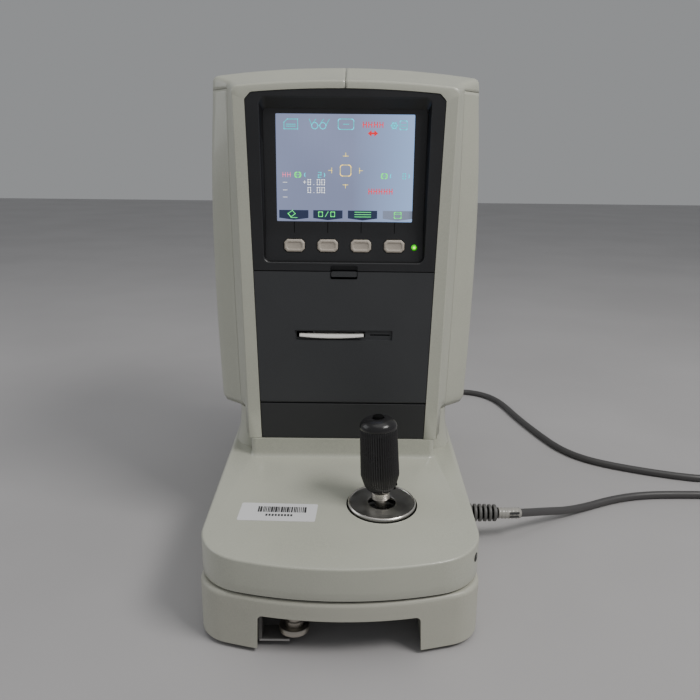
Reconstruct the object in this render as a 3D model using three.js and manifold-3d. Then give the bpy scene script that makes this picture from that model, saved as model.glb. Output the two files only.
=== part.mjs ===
// Table-top eye-measuring instrument (auto refractor keratometer): a measuring head that rises on a
// sliding stage, moved by a joystick over a fixed base with a chin and forehead rest.
// Millimetres, +Z up, the operator sits on the -Y side and the patient on the +Y side.
// The origin is the middle of the base's footprint, on the table.
import * as THREE from 'three';
import { mergeVertices } from 'three/addons/utils/BufferGeometryUtils.js';
import Module from 'manifold-3d';

const wasm = await Module();
wasm.setup();

// ---------------------------------------------------------------- driving dimensions
const GAP = 0.3;                       // clearance between neighbouring pieces
const OVER = 20;                       // how far a cutting tool runs past what it cuts
const DEPTH = 450;                     // front of the base to its back
const mix = THREE.MathUtils.lerp;
const back = (distance) => distance - DEPTH / 2;   // y of a point so far behind the front

const BASE = { half: 107.5, bow: 275, corner: 30, heel: 22, front: 0, rear: DEPTH,
  floor: 3, top: 46.7, rim: 2.5, wall: 3.5, ceiling: 43.2 };
const LEG = { inner: 62, depth: 62.5, wall: 3.5 };
const ARCH = { foot: 62, head: 60, top: 32, round: 3 };
const WELL = { half: 58, front: 60, rear: 300 };
const FEET = { x: 90, front: 32, rear: 424, radius: 11, pad: 16, padTop: 9 };
const PLATE = { low: 33, high: 35.5, half: 100, tongue: 58, front: 14, shoulder: 67, rear: 434 };
const RACK = { x: 50, half: 4, front: 75, rear: 285, low: 35.8, high: 40.3 };
const AXLE = { f: 180, z: 46.6, radius: 3, pinion: 6, width: 8, half: 54.5 };
const LOCK = { x: -34, f: 22, disc: 11.9, low: 9.5, high: 15, shaft: 6, top: 42.4 };
const GLAND = { f: 175, z: 28, hole: 6.5, cordRadius: 4 };

const STAGE = { half: 107.8, bow: 275, corner: 44, heel: 30, front: 0, rear: 345,
  skirt: 47.7, frontTop: 75, slope: 12 / 170, fillet: 3, wall: 3 };
const COLLAR = { half: 100, spread: 7.5, foot: 80, flare: 2.2, front: 186.5, rear: 338, top: 126.5,
  round: 26 };
const PLINTH = { half: 85.4, front: 170, rear: 200, top: 104.3, round: 5 };
const SLEEVE = { half: 72, front: 191, rear: 325, low: 60, top: 158, wall: 2.5, round: 8 };
const TRAY = { low: 56.5, high: 59.5, half: 90, front: 42, rear: 320 };
const LIFT = { f: 285, rodX: 50, rod: 5, screw: 6, pulley: 14 };

const STICK = { x: 33.6, f: 88, pivot: 68, lean: THREE.MathUtils.degToRad(-2.9),
  slim: 4.8, shaft: 6.6, collar: 7.6, bore: 6.9, deck: 81.2 };
const RING = { outer: 28, hole: 11.5, thick: 2.4, lip: 2 };

const PANEL = { foot: 104.7, head: 412.5, footHalf: 75.3, headHalf: 83.5, chamfer: 5.5,
  arch: 900, face: 172.6, seam: 0.4 };
const RECESS = { top: 406, bottom: 269, topHalf: 72, bottomHalf: 70, floor: 181, hood: 8.5, round: 6 };
const SCREEN = { half: 59, z: 348.6, halfTall: 44.75 };
const KEYS = { pitch: 29.2, z: 283, half: 9, halfTall: 5.5, front: 177.6, rear: 189, round: 3 };
const LAMP = { x: 61.5, radius: 2.3 };
const COVER = { low: 141.4, high: 261, thick: 4.8, barrel: 2.4, slotZ: 203.5, slotHalf: 43,
  slotTall: 4.5 };
const HEAD = { step: 185.8, rear: 365, sill: 104.7, skirt: 127, split: 330, wall: 3,
  sideSeam: 414.4, valley: 101.8, valleyFront: 188, widestZ: 290, window: 315, corner: 5.5,
  shoulder: 415, crownBow: 1730 };
const SIDE_LEVELS = [190, 250, 310, 365];   // heights that follow the bulge of the head's flanks
const HEAD_REACH = 160;                // wider than the head, for the blocks that part its shell
const CHIN = { f: 420, arm: 106, crossLow: 150, crossHigh: 172, cup: 203 };

// ---------------------------------------------------------------- materials
const finish = (color, roughness, metalness = 0) =>
  new THREE.MeshStandardMaterial({ color, roughness, metalness });
const IVORY = finish(0xc9cabd, 0.5);
const SHADOW_IVORY = finish(0xbfc0b4, 0.55);
const CHARCOAL = finish(0x3a3b3f, 0.55);
const BLACK = finish(0x1c1c1d, 0.4);
const BEIGE = finish(0xc8bfb2, 0.5);
const STEEL = finish(0x8d8a87, 0.32, 1);
const CHROME = finish(0xd6d6d6, 0.12, 1);
const SHEET_METAL = finish(0xa9abac, 0.45, 0.9);
const RUBBER = finish(0x2a2a2a, 0.85);
const CORD_GREY = finish(0x8a8886, 0.6);
const BOARD_GREEN = finish(0x2d6a45, 0.5);
const LCD_BLUE = finish(0x96a0b2, 0.25);
const GLASS = finish(0x6f7f88, 0.08);
const LED_GREEN = finish(0x36e03a, 0.3);
const PAPER = finish(0xf0efe9, 0.9);
const PAD_GREY = finish(0x8f9296, 0.8);

// ---------------------------------------------------------------- solids and booleans
function toSolid(geometry) {
  const bare = geometry.clone();
  bare.deleteAttribute('normal');
  bare.deleteAttribute('uv');
  const merged = mergeVertices(bare, 1e-4);
  return new wasm.Manifold(new wasm.Mesh({ numProp: 3,
    vertProperties: new Float32Array(merged.attributes.position.array),
    triVerts: new Uint32Array(merged.index.array) }));
}

function toGeometry(solid) {
  const mesh = solid.getMesh();
  const geometry = new THREE.BufferGeometry();
  geometry.setAttribute('position', new THREE.BufferAttribute(new Float32Array(mesh.vertProperties), 3));
  geometry.setIndex(new THREE.BufferAttribute(new Uint32Array(mesh.triVerts), 1));
  geometry.computeVertexNormals();
  return geometry;
}

const cut = (body, ...tools) =>
  toGeometry(tools.reduce((left, tool) => left.subtract(toSolid(tool)), toSolid(body)));
const join = (body, ...others) =>
  toGeometry(others.reduce((sum, other) => sum.add(toSolid(other)), toSolid(body)));
const meet = (body, other) => toGeometry(toSolid(body).intersect(toSolid(other)));

// A box given by its low and high x, distance behind the front, and z.
function block(x0, x1, f0, f1, z0, z1) {
  const box = new THREE.BoxGeometry(x1 - x0, f1 - f0, z1 - z0);
  return box.translate((x0 + x1) / 2, back((f0 + f1) / 2), (z0 + z1) / 2);
}

// The same on one side (-1 left, 1 right), between two distances from the middle.
function sideBlock(side, near, far, f0, f1, z0, z1) {
  return side < 0 ? block(-far, -near, f0, f1, z0, z1) : block(near, far, f0, f1, z0, z1);
}

const rodZ = (radius, z0, z1, x, f, sides = 24) =>
  new THREE.CylinderGeometry(radius, radius, z1 - z0, sides)
    .rotateX(Math.PI / 2).translate(x, back(f), (z0 + z1) / 2);
const rodY = (radius, f0, f1, x, z, sides = 32) =>
  new THREE.CylinderGeometry(radius, radius, f1 - f0, sides).translate(x, back((f0 + f1) / 2), z);
const rodX = (radius, x0, x1, f, z, sides = 24) =>
  new THREE.CylinderGeometry(radius, radius, x1 - x0, sides)
    .rotateZ(Math.PI / 2).translate((x0 + x1) / 2, back(f), z);

// A closed outline [[u, v, radius], ...] with its corners rounded by arcs of equal step count.
function filleted(corners, steps = 5) {
  const count = corners.length;
  return corners.flatMap(([u, v, radius = 0], i) => {
    const corner = new THREE.Vector2(u, v);
    if (radius === 0) return [corner];
    const before = new THREE.Vector2(...corners[(i + count - 1) % count]).sub(corner).normalize();
    const after = new THREE.Vector2(...corners[(i + 1) % count]).sub(corner).normalize();
    const half = Math.acos(before.dot(after)) / 2;
    const inward = before.clone().add(after).normalize();
    const centre = corner.clone().addScaledVector(inward, radius / Math.sin(half));
    const start = corner.clone().addScaledVector(before, radius / Math.tan(half)).sub(centre);
    const end = corner.clone().addScaledVector(after, radius / Math.tan(half)).sub(centre);
    const sweep = Math.atan2(start.cross(end), start.dot(end));
    return Array.from({ length: steps + 1 }, (_, k) =>
      start.clone().rotateAround(new THREE.Vector2(), sweep * k / steps).add(centre));
  });
}

const rectangle = (x0, x1, y0, y1, radius = 0) =>
  filleted([[x0, y0, radius], [x1, y0, radius], [x1, y1, radius], [x0, y1, radius]]);

// An outline in plan, extruded up.
const prism = (outline, z0, z1) =>
  new THREE.ExtrudeGeometry(new THREE.Shape(outline), { depth: z1 - z0, bevelEnabled: false })
    .translate(0, 0, z0);
// An outline in front view (x, z), extruded from front to back.
const slab = (outline, f0, f1) =>
  new THREE.ExtrudeGeometry(new THREE.Shape(outline), { depth: f1 - f0, bevelEnabled: false })
    .rotateX(Math.PI / 2).translate(0, back(f1), 0);

// A skin over rings of equal point count, closed by flat ends; drop gives a point's 2-D place.
function loft(rings, drop) {
  const count = rings[0].length;
  const index = [];
  for (let r = 0; r + 1 < rings.length; r += 1) {
    for (let i = 0; i < count; i += 1) {
      const a = r * count + i;
      const b = r * count + (i + 1) % count;
      index.push(a, b, b + count, a, b + count, a + count);
    }
  }
  const last = (rings.length - 1) * count;
  const near = THREE.ShapeUtils.triangulateShape(rings[0].map(drop), []);
  const far = THREE.ShapeUtils.triangulateShape(rings[rings.length - 1].map(drop), []);
  near.forEach(([a, b, c]) => index.push(c, b, a));
  far.forEach(([a, b, c]) => index.push(last + a, last + b, last + c));
  const geometry = new THREE.BufferGeometry().setFromPoints(rings.flat());
  geometry.setIndex(index);
  if (signedVolume(geometry) < 0) geometry.setIndex(index.reverse());
  return geometry;
}

// The volume inside a closed skin, negative when its triangles face inward.
function signedVolume(geometry) {
  const point = geometry.attributes.position;
  const index = geometry.index.array;
  const corner = [0, 1, 2].map(() => new THREE.Vector3());
  let volume = 0;
  for (let k = 0; k < index.length; k += 3) {
    corner.forEach((c, n) => c.fromBufferAttribute(point, index[k + n]));
    volume += corner[0].dot(corner[1].cross(corner[2])) / 6;
  }
  return volume;
}

const plan = (p) => new THREE.Vector2(p.x, p.y);
const elevation = (p) => new THREE.Vector2(p.x, p.z);

// ---------------------------------------------------------------- assembly
const assembly = new THREE.Group();
function place(name, geometry, material, parent = assembly) {
  const mesh = new THREE.Mesh(geometry, material);
  mesh.name = name;
  parent.add(mesh);
  return mesh;
}

// Plan outline of the base and of the stage: a bowed front, rounded corners, straight sides.
function bowedPlan({ half, bow, corner, heel, front, rear }, inset = 0) {
  const side = half - inset;
  const radius = bow - inset;
  const reach = side * 0.7;
  const sag = (x) => radius - Math.sqrt(radius * radius - x * x);
  const nose = back(front) + inset;
  const bowPoints = Array.from({ length: 15 }, (_, k) => {
    const x = reach * (k - 7) / 7;
    return [x, nose + sag(x)];
  });
  const slope = reach / Math.sqrt(radius * radius - reach * reach);
  const shoulder = nose + sag(reach) + (side - reach) * slope;
  const tail = back(rear) - inset;
  return filleted([...bowPoints, [side, shoulder, corner - inset], [side, tail, heel - inset],
    [-side, tail, heel - inset], [-side, shoulder, corner - inset]]);
}

const lifted = (outline, height) => outline.map((p) =>
  new THREE.Vector3(p.x, p.y, typeof height === 'function' ? height(p.y) : height));

// ---------------------------------------------------------------- fixed base
function baseHousing() {
  const skin = loft([lifted(bowedPlan(BASE), BASE.floor), lifted(bowedPlan(BASE), BASE.top - BASE.rim),
    lifted(bowedPlan(BASE, BASE.rim * 0.3), BASE.top - BASE.rim * 0.3),
    lifted(bowedPlan(BASE, BASE.rim), BASE.top)], plan);
  const legWall = (side) => sideBlock(side, LEG.inner, LEG.inner + LEG.wall,
    -OVER, LEG.depth + LEG.wall, -OVER, BASE.top);
  const crossWall = (side) => sideBlock(side, LEG.inner, BASE.half,
    LEG.depth, LEG.depth + LEG.wall, -OVER, BASE.top);
  const pads = [-1, 1].flatMap((side) => [FEET.front, FEET.rear].map((f) =>
    rodZ(FEET.pad, -OVER, FEET.padTop, side * FEET.x, f)));
  const hollow = cut(prism(bowedPlan(BASE, BASE.wall), -OVER, BASE.ceiling),
    legWall(-1), legWall(1), crossWall(-1), crossWall(1), ...pads);
  const archway = slab(filleted([[-ARCH.foot, -OVER], [ARCH.foot, -OVER],
    [ARCH.head, ARCH.top, ARCH.round], [-ARCH.head, ARCH.top, ARCH.round]]), -OVER, OVER);
  return cut(skin, hollow, archway,
    block(-WELL.half, WELL.half, WELL.front, WELL.rear, BASE.ceiling - 5, BASE.top + OVER),
    rodX(GLAND.hole, 90, 130, GLAND.f, GLAND.z),
    block(-130, -90, 375, 399, 20, 34));
}

function basePlate() {
  const sheet = prism([[PLATE.tongue, PLATE.front], [PLATE.tongue, PLATE.shoulder],
    [PLATE.half, PLATE.shoulder], [PLATE.half, PLATE.rear], [-PLATE.half, PLATE.rear],
    [-PLATE.half, PLATE.shoulder], [-PLATE.tongue, PLATE.shoulder], [-PLATE.tongue, PLATE.front]]
    .map(([x, f]) => new THREE.Vector2(x, back(f))), PLATE.low, PLATE.high);
  return cut(sheet, rodZ(LOCK.shaft + 0.5, 0, 60, LOCK.x, LOCK.f));
}

function lockKnob() {
  return join(rodZ(LOCK.disc, LOCK.low, LOCK.high, LOCK.x, LOCK.f, 32),
    rodZ(LOCK.shaft, LOCK.high - 1, LOCK.top, LOCK.x, LOCK.f));
}

// A strap that hangs from the plate beside the knob and carries a small foot under the leg.
function lockBracket() {
  return join(block(-60.5, -58, 14, 30, 5, PLATE.low - GAP), block(-60, -37, 14, 30, 5, 7));
}

place('base_housing', baseHousing(), SHADOW_IVORY);
place('base_plate', basePlate(), SHEET_METAL);
place('lock_knob', lockKnob(), CHROME);
place('lock_bracket', lockBracket(), BLACK);
[[-1, FEET.front], [1, FEET.front], [-1, FEET.rear], [1, FEET.rear]].forEach(([side, f], i) =>
  place(`rubber_foot_${i + 1}`, rodZ(FEET.radius, 0, BASE.floor - GAP, side * FEET.x, f), RUBBER));
[['rack_left', -1], ['rack_right', 1]].forEach(([name, side]) => place(name,
  block(side * RACK.x - RACK.half, side * RACK.x + RACK.half, RACK.front, RACK.rear, RACK.low, RACK.high),
  STEEL));
place('power_switch', join(block(-109.3, -103, 378, 396, 21.5, 32.5), rodY(5, 378, 396, -104, 27)), BLACK);

// ---------------------------------------------------------------- chin and forehead rest
function foreheadBand(inner, thick, reach, low, high) {
  const sag = (x) => inner + 17 * (x / CHIN.arm) ** 2;
  const steps = Array.from({ length: 17 }, (_, k) => reach * (k - 8) / 8);
  const near = steps.map((x) => new THREE.Vector2(x, back(sag(x))));
  const far = steps.map((x) => new THREE.Vector2(x, back(sag(x) + thick))).reverse();
  return prism([...near, ...far], low, high);
}

function chinCup() {
  const bowl = slab(filleted([[-36, CHIN.cup, 8], [36, CHIN.cup, 8], [40, CHIN.cup + 20, 1.5],
    [35, CHIN.cup + 20, 1.5], [28, CHIN.cup + 6, 6], [-28, CHIN.cup + 6, 6],
    [-35, CHIN.cup + 20, 1.5], [-40, CHIN.cup + 20, 1.5]]), 402, 438);
  return join(bowl, rodZ(6, 112, CHIN.cup + 2, 0, CHIN.f));
}

[['chinrest_arm_left', -1], ['chinrest_arm_right', 1]].forEach(([name, side]) => place(name,
  prism(rectangle(side * CHIN.arm - 6, side * CHIN.arm + 6, back(410), back(432), 4), BASE.top + GAP, 397.7),
  IVORY));
place('chin_crossbar', cut(prism(rectangle(-99.7, 99.7, back(406), back(434), 6),
  CHIN.crossLow, CHIN.crossHigh), rodZ(6.4, 0, 250, 0, CHIN.f)), IVORY);
place('forehead_bar', foreheadBand(397, 8, 112, 398, 424), IVORY);
place('forehead_pad', foreheadBand(405.3, 5, 62, 400, 422), PAD_GREY);
place('chin_cup', chinCup(), IVORY);

// ---------------------------------------------------------------- cross slide and its axle
place('cross_axle', join(rodX(AXLE.radius, -AXLE.half, AXLE.half, AXLE.f, AXLE.z),
  ...[-1, 1].map((side) => rodX(AXLE.pinion, side * RACK.x - AXLE.width / 2,
    side * RACK.x + AXLE.width / 2, AXLE.f, AXLE.z))), STEEL);
const bearing = (x) => block(x - 5, x + 5, AXLE.f - 9, AXLE.f + 9, AXLE.z - 5, 54);
place('cross_slide', cut(join(block(-56, 56, 110, 250, 53.2, 56), bearing(-28), bearing(28)),
  rodX(AXLE.radius + GAP, -60, 60, AXLE.f, AXLE.z)), SHEET_METAL);

// ---------------------------------------------------------------- stage
const deckHeight = (y) => STAGE.frontTop + STAGE.slope * (y - back(0));

function bevelRings(fillet, inset, drop, steps) {
  return Array.from({ length: steps + 1 }, (_, k) => {
    const angle = Math.PI / 2 * k / steps;
    return lifted(bowedPlan(STAGE, inset + fillet * (1 - Math.cos(angle))),
      (y) => deckHeight(y) - drop - fillet * (1 - Math.sin(angle)));
  });
}

function collarSkin(inset) {
  const rings = Array.from({ length: 6 }, (_, k) => {
    const rise = k / 5;
    const flare = COLLAR.spread * (1 - rise) ** COLLAR.flare - inset;
    return lifted(rectangle(-COLLAR.half - flare, COLLAR.half + flare, back(COLLAR.front) + inset,
      back(COLLAR.rear) - inset, COLLAR.round - inset), mix(COLLAR.foot, COLLAR.top, rise));
  });
  return loft(rings, plan);
}

function stageCover() {
  const skin = loft([lifted(bowedPlan(STAGE, 1), STAGE.skirt), lifted(bowedPlan(STAGE), STAGE.skirt + 1),
    ...bevelRings(STAGE.fillet, 0, 0, 4)], plan);
  const hollow = loft([lifted(bowedPlan(STAGE, STAGE.wall), STAGE.skirt - OVER),
    ...bevelRings(1, STAGE.wall, STAGE.wall, 2)], plan);
  const plinth = prism(rectangle(-PLINTH.half, PLINTH.half, back(PLINTH.front), back(PLINTH.rear),
    PLINTH.round), 76, PLINTH.top);
  const room = prism(rectangle(-PLINTH.half + 3, PLINTH.half - 3, back(PLINTH.front) + 3,
    back(COLLAR.front) + 20, 3), 60, PLINTH.top - 3);
  const collarHollow = meet(collarSkin(STAGE.wall), block(-150, 150, 0, DEPTH, 60, COLLAR.top - 3));
  const mouth = prism(rectangle(-SLEEVE.half - 1, SLEEVE.half + 1, back(SLEEVE.front - 1),
    back(SLEEVE.rear + 1), SLEEVE.round), 40, COLLAR.top + OVER);
  return cut(join(skin, collarSkin(0), plinth), hollow, room, collarHollow, mouth,
    rodZ(15, 60, 100, STICK.x, STICK.f));
}

function innerSleeve() {
  const outer = rectangle(-SLEEVE.half, SLEEVE.half, back(SLEEVE.front), back(SLEEVE.rear), SLEEVE.round);
  const inner = rectangle(-SLEEVE.half + SLEEVE.wall, SLEEVE.half - SLEEVE.wall,
    back(SLEEVE.front) + SLEEVE.wall, back(SLEEVE.rear) - SLEEVE.wall, SLEEVE.round - SLEEVE.wall);
  return cut(prism(outer, SLEEVE.low, SLEEVE.top), prism(inner, SLEEVE.low - OVER, SLEEVE.top + OVER));
}

place('stage_cover', stageCover(), IVORY);
place('stage_plate', prism(rectangle(-TRAY.half, TRAY.half, back(TRAY.front), back(TRAY.rear), 10),
  TRAY.low, TRAY.high), SHEET_METAL);
place('inner_column', innerSleeve(), CHARCOAL);
[['guide_rod_left', -1], ['guide_rod_right', 1]].forEach(([name, side]) => place(name,
  rodZ(LIFT.rod, TRAY.high + GAP, 236, side * LIFT.rodX, LIFT.f), CHROME));
place('lift_motor', join(block(-21, 21, 215, 257, TRAY.high + GAP, 100), rodZ(4, 99, 112, 0, 236)), BLACK);
place('lead_screw', join(rodZ(LIFT.screw, 60.5, 222, 0, LIFT.f),
  rodZ(LIFT.pulley, 103, 111, 0, LIFT.f)), STEEL);

// ---------------------------------------------------------------- joystick
const ringTilt = new THREE.Group();
ringTilt.position.set(STICK.x, back(STICK.f), STICK.deck + GAP);
ringTilt.rotation.x = Math.atan(STAGE.slope);
assembly.add(ringTilt);
const lathe = (profile, sides = 40) =>
  new THREE.LatheGeometry(profile.map(([r, z]) => new THREE.Vector2(r, z)), sides).rotateX(Math.PI / 2);
place('joystick_ring', lathe([[RING.hole, 0], [RING.outer, 0], [RING.outer, RING.thick - 1],
  [RING.outer - 1, RING.thick], [RING.outer - RING.lip, RING.thick - 0.6],
  [RING.hole + 1, RING.thick - 0.6], [RING.hole, RING.thick - 1.2], [RING.hole, 0]]), STEEL, ringTilt);
place('joystick_socket', lathe([[19, 0], [23, 0], [23, 14], [19, 14], [19, 0]], 32)
  .translate(STICK.x, back(STICK.f), TRAY.high + GAP), SHEET_METAL);

const stick = new THREE.Group();
stick.position.set(STICK.x, back(STICK.f), STICK.pivot);
stick.rotation.y = STICK.lean;
assembly.add(stick);
place('gimbal_ring', lathe([[13, -3], [17, -3], [17, 3], [13, 3], [13, -3]], 32), BLACK, stick);
place('joystick_shaft', lathe([[0, -5], [8, -5], [9.5, 0], [8, 4], [STICK.slim, 7],
  [STICK.slim, 18.6], [STICK.collar, 19], [STICK.collar, 25.2], [STICK.shaft, 25.6], [STICK.shaft, 55],
  [0, 55]], 28), CHROME, stick);
place('joystick_grip', lathe([[STICK.bore, 26.3], [8.8, 26.3], [11.8, 28.5], [13.5, 31.5], [15.9, 40],
  [15, 80], [13.4, 85.5], [9, 88.6], [4.6, 89.4], [4.6, 60], [STICK.bore, 60], [STICK.bore, 26.3]], 32),
BLACK, stick);
place('joystick_button', lathe([[0, 82], [4.2, 82], [4.2, 90.4], [3.4, 91.2], [0, 91.6]], 24),
  BLACK, stick);

// ---------------------------------------------------------------- head shells
const ridgeHalf = (z) => 95 - (415 - z) * 0.0217;
const flankHalf = (z) => 122.5 - (z - HEAD.widestZ) ** 2 * (z > HEAD.widestZ ? 3.25e-4 : 1.58e-4);

// One front-view outline of the head; flank 0 is the front frame's ridge and 1 the widest rib.
function headRib({ f, flank, inset, crown, sill, round }, shrink) {
  const half = (z) => mix(ridgeHalf(z), flankHalf(z), flank) - inset - shrink;
  const low = sill + (shrink && f > HEAD.step ? -OVER : 0);
  const arch = (x) => crown - shrink - x * x / HEAD.crownBow;
  const shoulder = half(HEAD.shoulder);
  const crownPoints = Array.from({ length: 11 }, (_, k) => shoulder * 0.84 * (5 - k) / 5)
    .map((x) => [x, arch(x)]);
  const outline = filleted([[-half(sill), low, round], [half(sill), low, round],
    ...SIDE_LEVELS.map((z) => [half(z), z]), [shoulder, arch(shoulder), HEAD.corner - shrink],
    ...crownPoints, [-shoulder, arch(shoulder), HEAD.corner - shrink],
    ...SIDE_LEVELS.toReversed().map((z) => [-half(z), z])]);
  return outline.map((p) => new THREE.Vector3(p.x, back(f), p.y));
}

const frameRib = (f, flank, inset, crown) => ({ f, flank, inset, crown, sill: HEAD.sill, round: 1 });
const bodyRib = (f, flank, inset, crown) => ({ f, flank, inset, crown, sill: HEAD.skirt, round: 4 });
const HEAD_RIBS = [frameRib(172, 0, 1.6, 417.6), frameRib(172.8, 0, 0.5, 419.1), frameRib(174.2, 0, 0, 419.8),
  frameRib(181, 0.04, 0, 420.4), frameRib(HEAD.step, 0.11, 0, 421.6), bodyRib(186.2, 0.115, 0, 421.8),
  bodyRib(198, 0.31, 0, 426), bodyRib(206, 0.6, 0, 429), bodyRib(214, 0.9, 0, 432.2),
  bodyRib(220, 1, 0, 434), bodyRib(335, 1, 1, 433), bodyRib(350, 1, 4, 429),
  bodyRib(360, 1, 11, 422), bodyRib(HEAD.rear, 1, 20, 413)];
const INNER_RIBS = [bodyRib(189.5, 0.115, 0, 421.6), ...HEAD_RIBS.slice(6, 12), bodyRib(361.5, 1, 12, 421)];

function panelHalf(z) {
  return mix(PANEL.footHalf, PANEL.headHalf, (z - PANEL.foot) / (PANEL.head - PANEL.foot));
}

// The dark panel's outline between two heights, with its arched and chamfered top when asked for.
function panelOutline(low, high, grow, arched) {
  const half = (z) => panelHalf(z) + grow;
  if (!arched) {
    return filleted([[-half(low), low], [half(low), low], [half(high), high], [-half(high), high]]);
  }
  const arch = (x) => high + grow - x * x / (2 * PANEL.arch);
  const side = half(high) - PANEL.chamfer;
  const top = Array.from({ length: 11 }, (_, k) => side * (5 - k) / 5).map((x) => [x, arch(x)]);
  const shoulder = arch(side) - PANEL.chamfer;
  return filleted([[-half(low), low], [half(low), low], [half(shoulder), shoulder], ...top,
    [-half(shoulder), shoulder]]);
}

function headShell() {
  const skin = loft(HEAD_RIBS.map((rib) => headRib(rib, 0)), elevation);
  const hollow = loft(INNER_RIBS.map((rib) => headRib(rib, HEAD.wall)), elevation);
  const opening = slab(panelOutline(PANEL.foot - OVER, PANEL.head, PANEL.seam, true), 160, 192);
  return cut(skin, hollow, opening);
}

const shell = headShell();
const sideZone = (side, gap) => sideBlock(side, HEAD.valley - gap, HEAD_REACH,
  HEAD.valleyFront - gap, HEAD.split + gap, HEAD.sill, HEAD.sideSeam + gap);
[['left', -1], ['right', 1]].forEach(([name, side]) => {
  const half = sideBlock(side, GAP, HEAD_REACH, 0, HEAD.split, 0, DEPTH);
  place(`head_shell_${name}`, cut(meet(shell, half), sideZone(side, PANEL.seam)), IVORY);
  place(`side_panel_${name}`, meet(shell, sideZone(side, 0)), IVORY);
});
const rearZone = block(-HEAD_REACH, HEAD_REACH, HEAD.split + PANEL.seam, DEPTH, 0, DEPTH);
place('rear_cover', cut(meet(shell, rearZone), rodY(32, 350, 380, 0, HEAD.window)), IVORY);
place('window_ring', new THREE.LatheGeometry([[27, -9], [31.6, -9], [31.6, 0.3], [36, 0.3], [36, 2],
  [34, 3], [27, 3], [27, -9]].map(([r, y]) => new THREE.Vector2(r, y)), 40)
  .translate(0, back(HEAD.rear), HEAD.window), BLACK);
place('window_glass', rodY(26.7, 360, 362, 0, HEAD.window, 40), GLASS);

// ---------------------------------------------------------------- operator panel
function displayBezel() {
  const body = slab(panelOutline(261.8, PANEL.head, 0, true), PANEL.face, 183);
  const rim = [[-RECESS.bottomHalf, RECESS.bottom], [RECESS.bottomHalf, RECESS.bottom],
    [RECESS.topHalf, RECESS.top], [-RECESS.topHalf, RECESS.top]];
  const floor = [[-68.5, 270.5], [68.5, 270.5], [69.5, RECESS.top - RECESS.hood],
    [-69.5, RECESS.top - RECESS.hood]];
  const ring = (corners, f) => filleted(corners.map((c) => [...c, RECESS.round])).map((p) =>
    new THREE.Vector3(p.x, back(f), p.y));
  const recess = loft([ring(rim, PANEL.face - 2), ring(rim, PANEL.face), ring(floor, RECESS.floor)],
    elevation);
  const window = slab(rectangle(-SCREEN.half, SCREEN.half, SCREEN.z - SCREEN.halfTall,
    SCREEN.z + SCREEN.halfTall), 170, 190);
  const holes = keyCentres.map((x) => slab(keyOutline(x, 0.4), 170, 190));
  const fingerNotch = block(-12, 12, 160, 177, 250, 266.6);
  return cut(body, recess, window, fingerNotch, ...holes,
    rodY(LAMP.radius + GAP, 170, 190, LAMP.x, KEYS.z - 1, 20));
}

const keyCentres = [-1.5, -0.5, 0.5, 1.5].map((n) => n * KEYS.pitch);
const keyOutline = (x, grow) => rectangle(x - KEYS.half - grow, x + KEYS.half + grow,
  KEYS.z - KEYS.halfTall - grow, KEYS.z + KEYS.halfTall + grow, KEYS.round);

place('display_bezel', displayBezel(), CHARCOAL);
place('lcd_screen', slab(rectangle(-62, 62, SCREEN.z - 47.5, SCREEN.z + 47.5), 183.3, 190), LCD_BLUE);
keyCentres.forEach((x, i) =>
  place(`soft_key_${i + 1}`, slab(keyOutline(x, 0), KEYS.front, KEYS.rear), BEIGE));
place('power_lamp', rodY(LAMP.radius, 180.2, 188, LAMP.x, KEYS.z - 1, 20), LED_GREEN);
place('main_board', slab(rectangle(-60, 60, 272, 392), 193, 195), BOARD_GREEN);

function printerCover() {
  const leaf = slab(panelOutline(COVER.low, COVER.high, -0.1, false), PANEL.face, PANEL.face + COVER.thick);
  const barrel = rodX(COVER.barrel, -panelHalf(COVER.low) + 0.4, panelHalf(COVER.low) - 0.4,
    PANEL.face + COVER.thick / 2, COVER.low);
  const slot = slab(rectangle(-COVER.slotHalf, COVER.slotHalf, COVER.slotZ - COVER.slotTall,
    COVER.slotZ + COVER.slotTall, 2), 160, 190);
  const notch = block(-12, 12, 160, 190, COVER.high - 6.4, COVER.high + 5);
  return cut(join(leaf, barrel), slot, notch);
}

place('printer_cover', printerCover(), CHARCOAL);
place('cover_latch', join(block(-11, 11, 171.4, 176, 256.7, 261.2),
  block(-8, 8, 175.5, 178, 257, 260.9)), BLACK);
place('paper_slip', slab(rectangle(-40, 18, COVER.slotZ - 0.4, COVER.slotZ + 0.4), 168.5, 177), PAPER);
place('lower_panel', slab(panelOutline(PANEL.foot, 138.5, 0, false), PANEL.face, PANEL.face + 4),
  CHARCOAL);
place('printer_bay', cut(block(-60, 60, 178.6, 250, 168, 258),
  block(-57.5, 57.5, 160, 247.5, 170.5, 255.5)), BLACK);
place('paper_roll', rodX(22, -28.5, 28.5, 216, 194, 36), PAPER);

// ---------------------------------------------------------------- inside the head
function headChassis() {
  const floor = block(-68, 68, 198, 322, 162, 166);
  const cheeks = [-1, 1].map((side) => sideBlock(side, 65, 68, 254, 322, 165, 372));
  const bushes = [-1, 1].map((side) => rodZ(9, 165, 192, side * LIFT.rodX, LIFT.f));
  const nut = rodZ(13, 165, 186, 0, LIFT.f);
  const bores = [-1, 1].map((side) => rodZ(LIFT.rod + GAP, 100, 260, side * LIFT.rodX, LIFT.f));
  return cut(join(floor, ...cheeks, ...bushes, nut), ...bores, rodZ(LIFT.screw + GAP, 100, 260, 0, LIFT.f));
}

place('head_chassis', headChassis(), SHEET_METAL);
place('optics_barrel', cut(join(rodY(28, 262, 350, 0, HEAD.window),
  rodY(22, 204, 263, 0, HEAD.window)), rodY(18, 190, 380, 0, HEAD.window)), BLACK);

// ---------------------------------------------------------------- mains lead
const CORD_Z = 4.2;
const COIL = { x: 62, f: 532, mean: 44, half: 8.4, low: 0.3, high: 16.6 };
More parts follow.
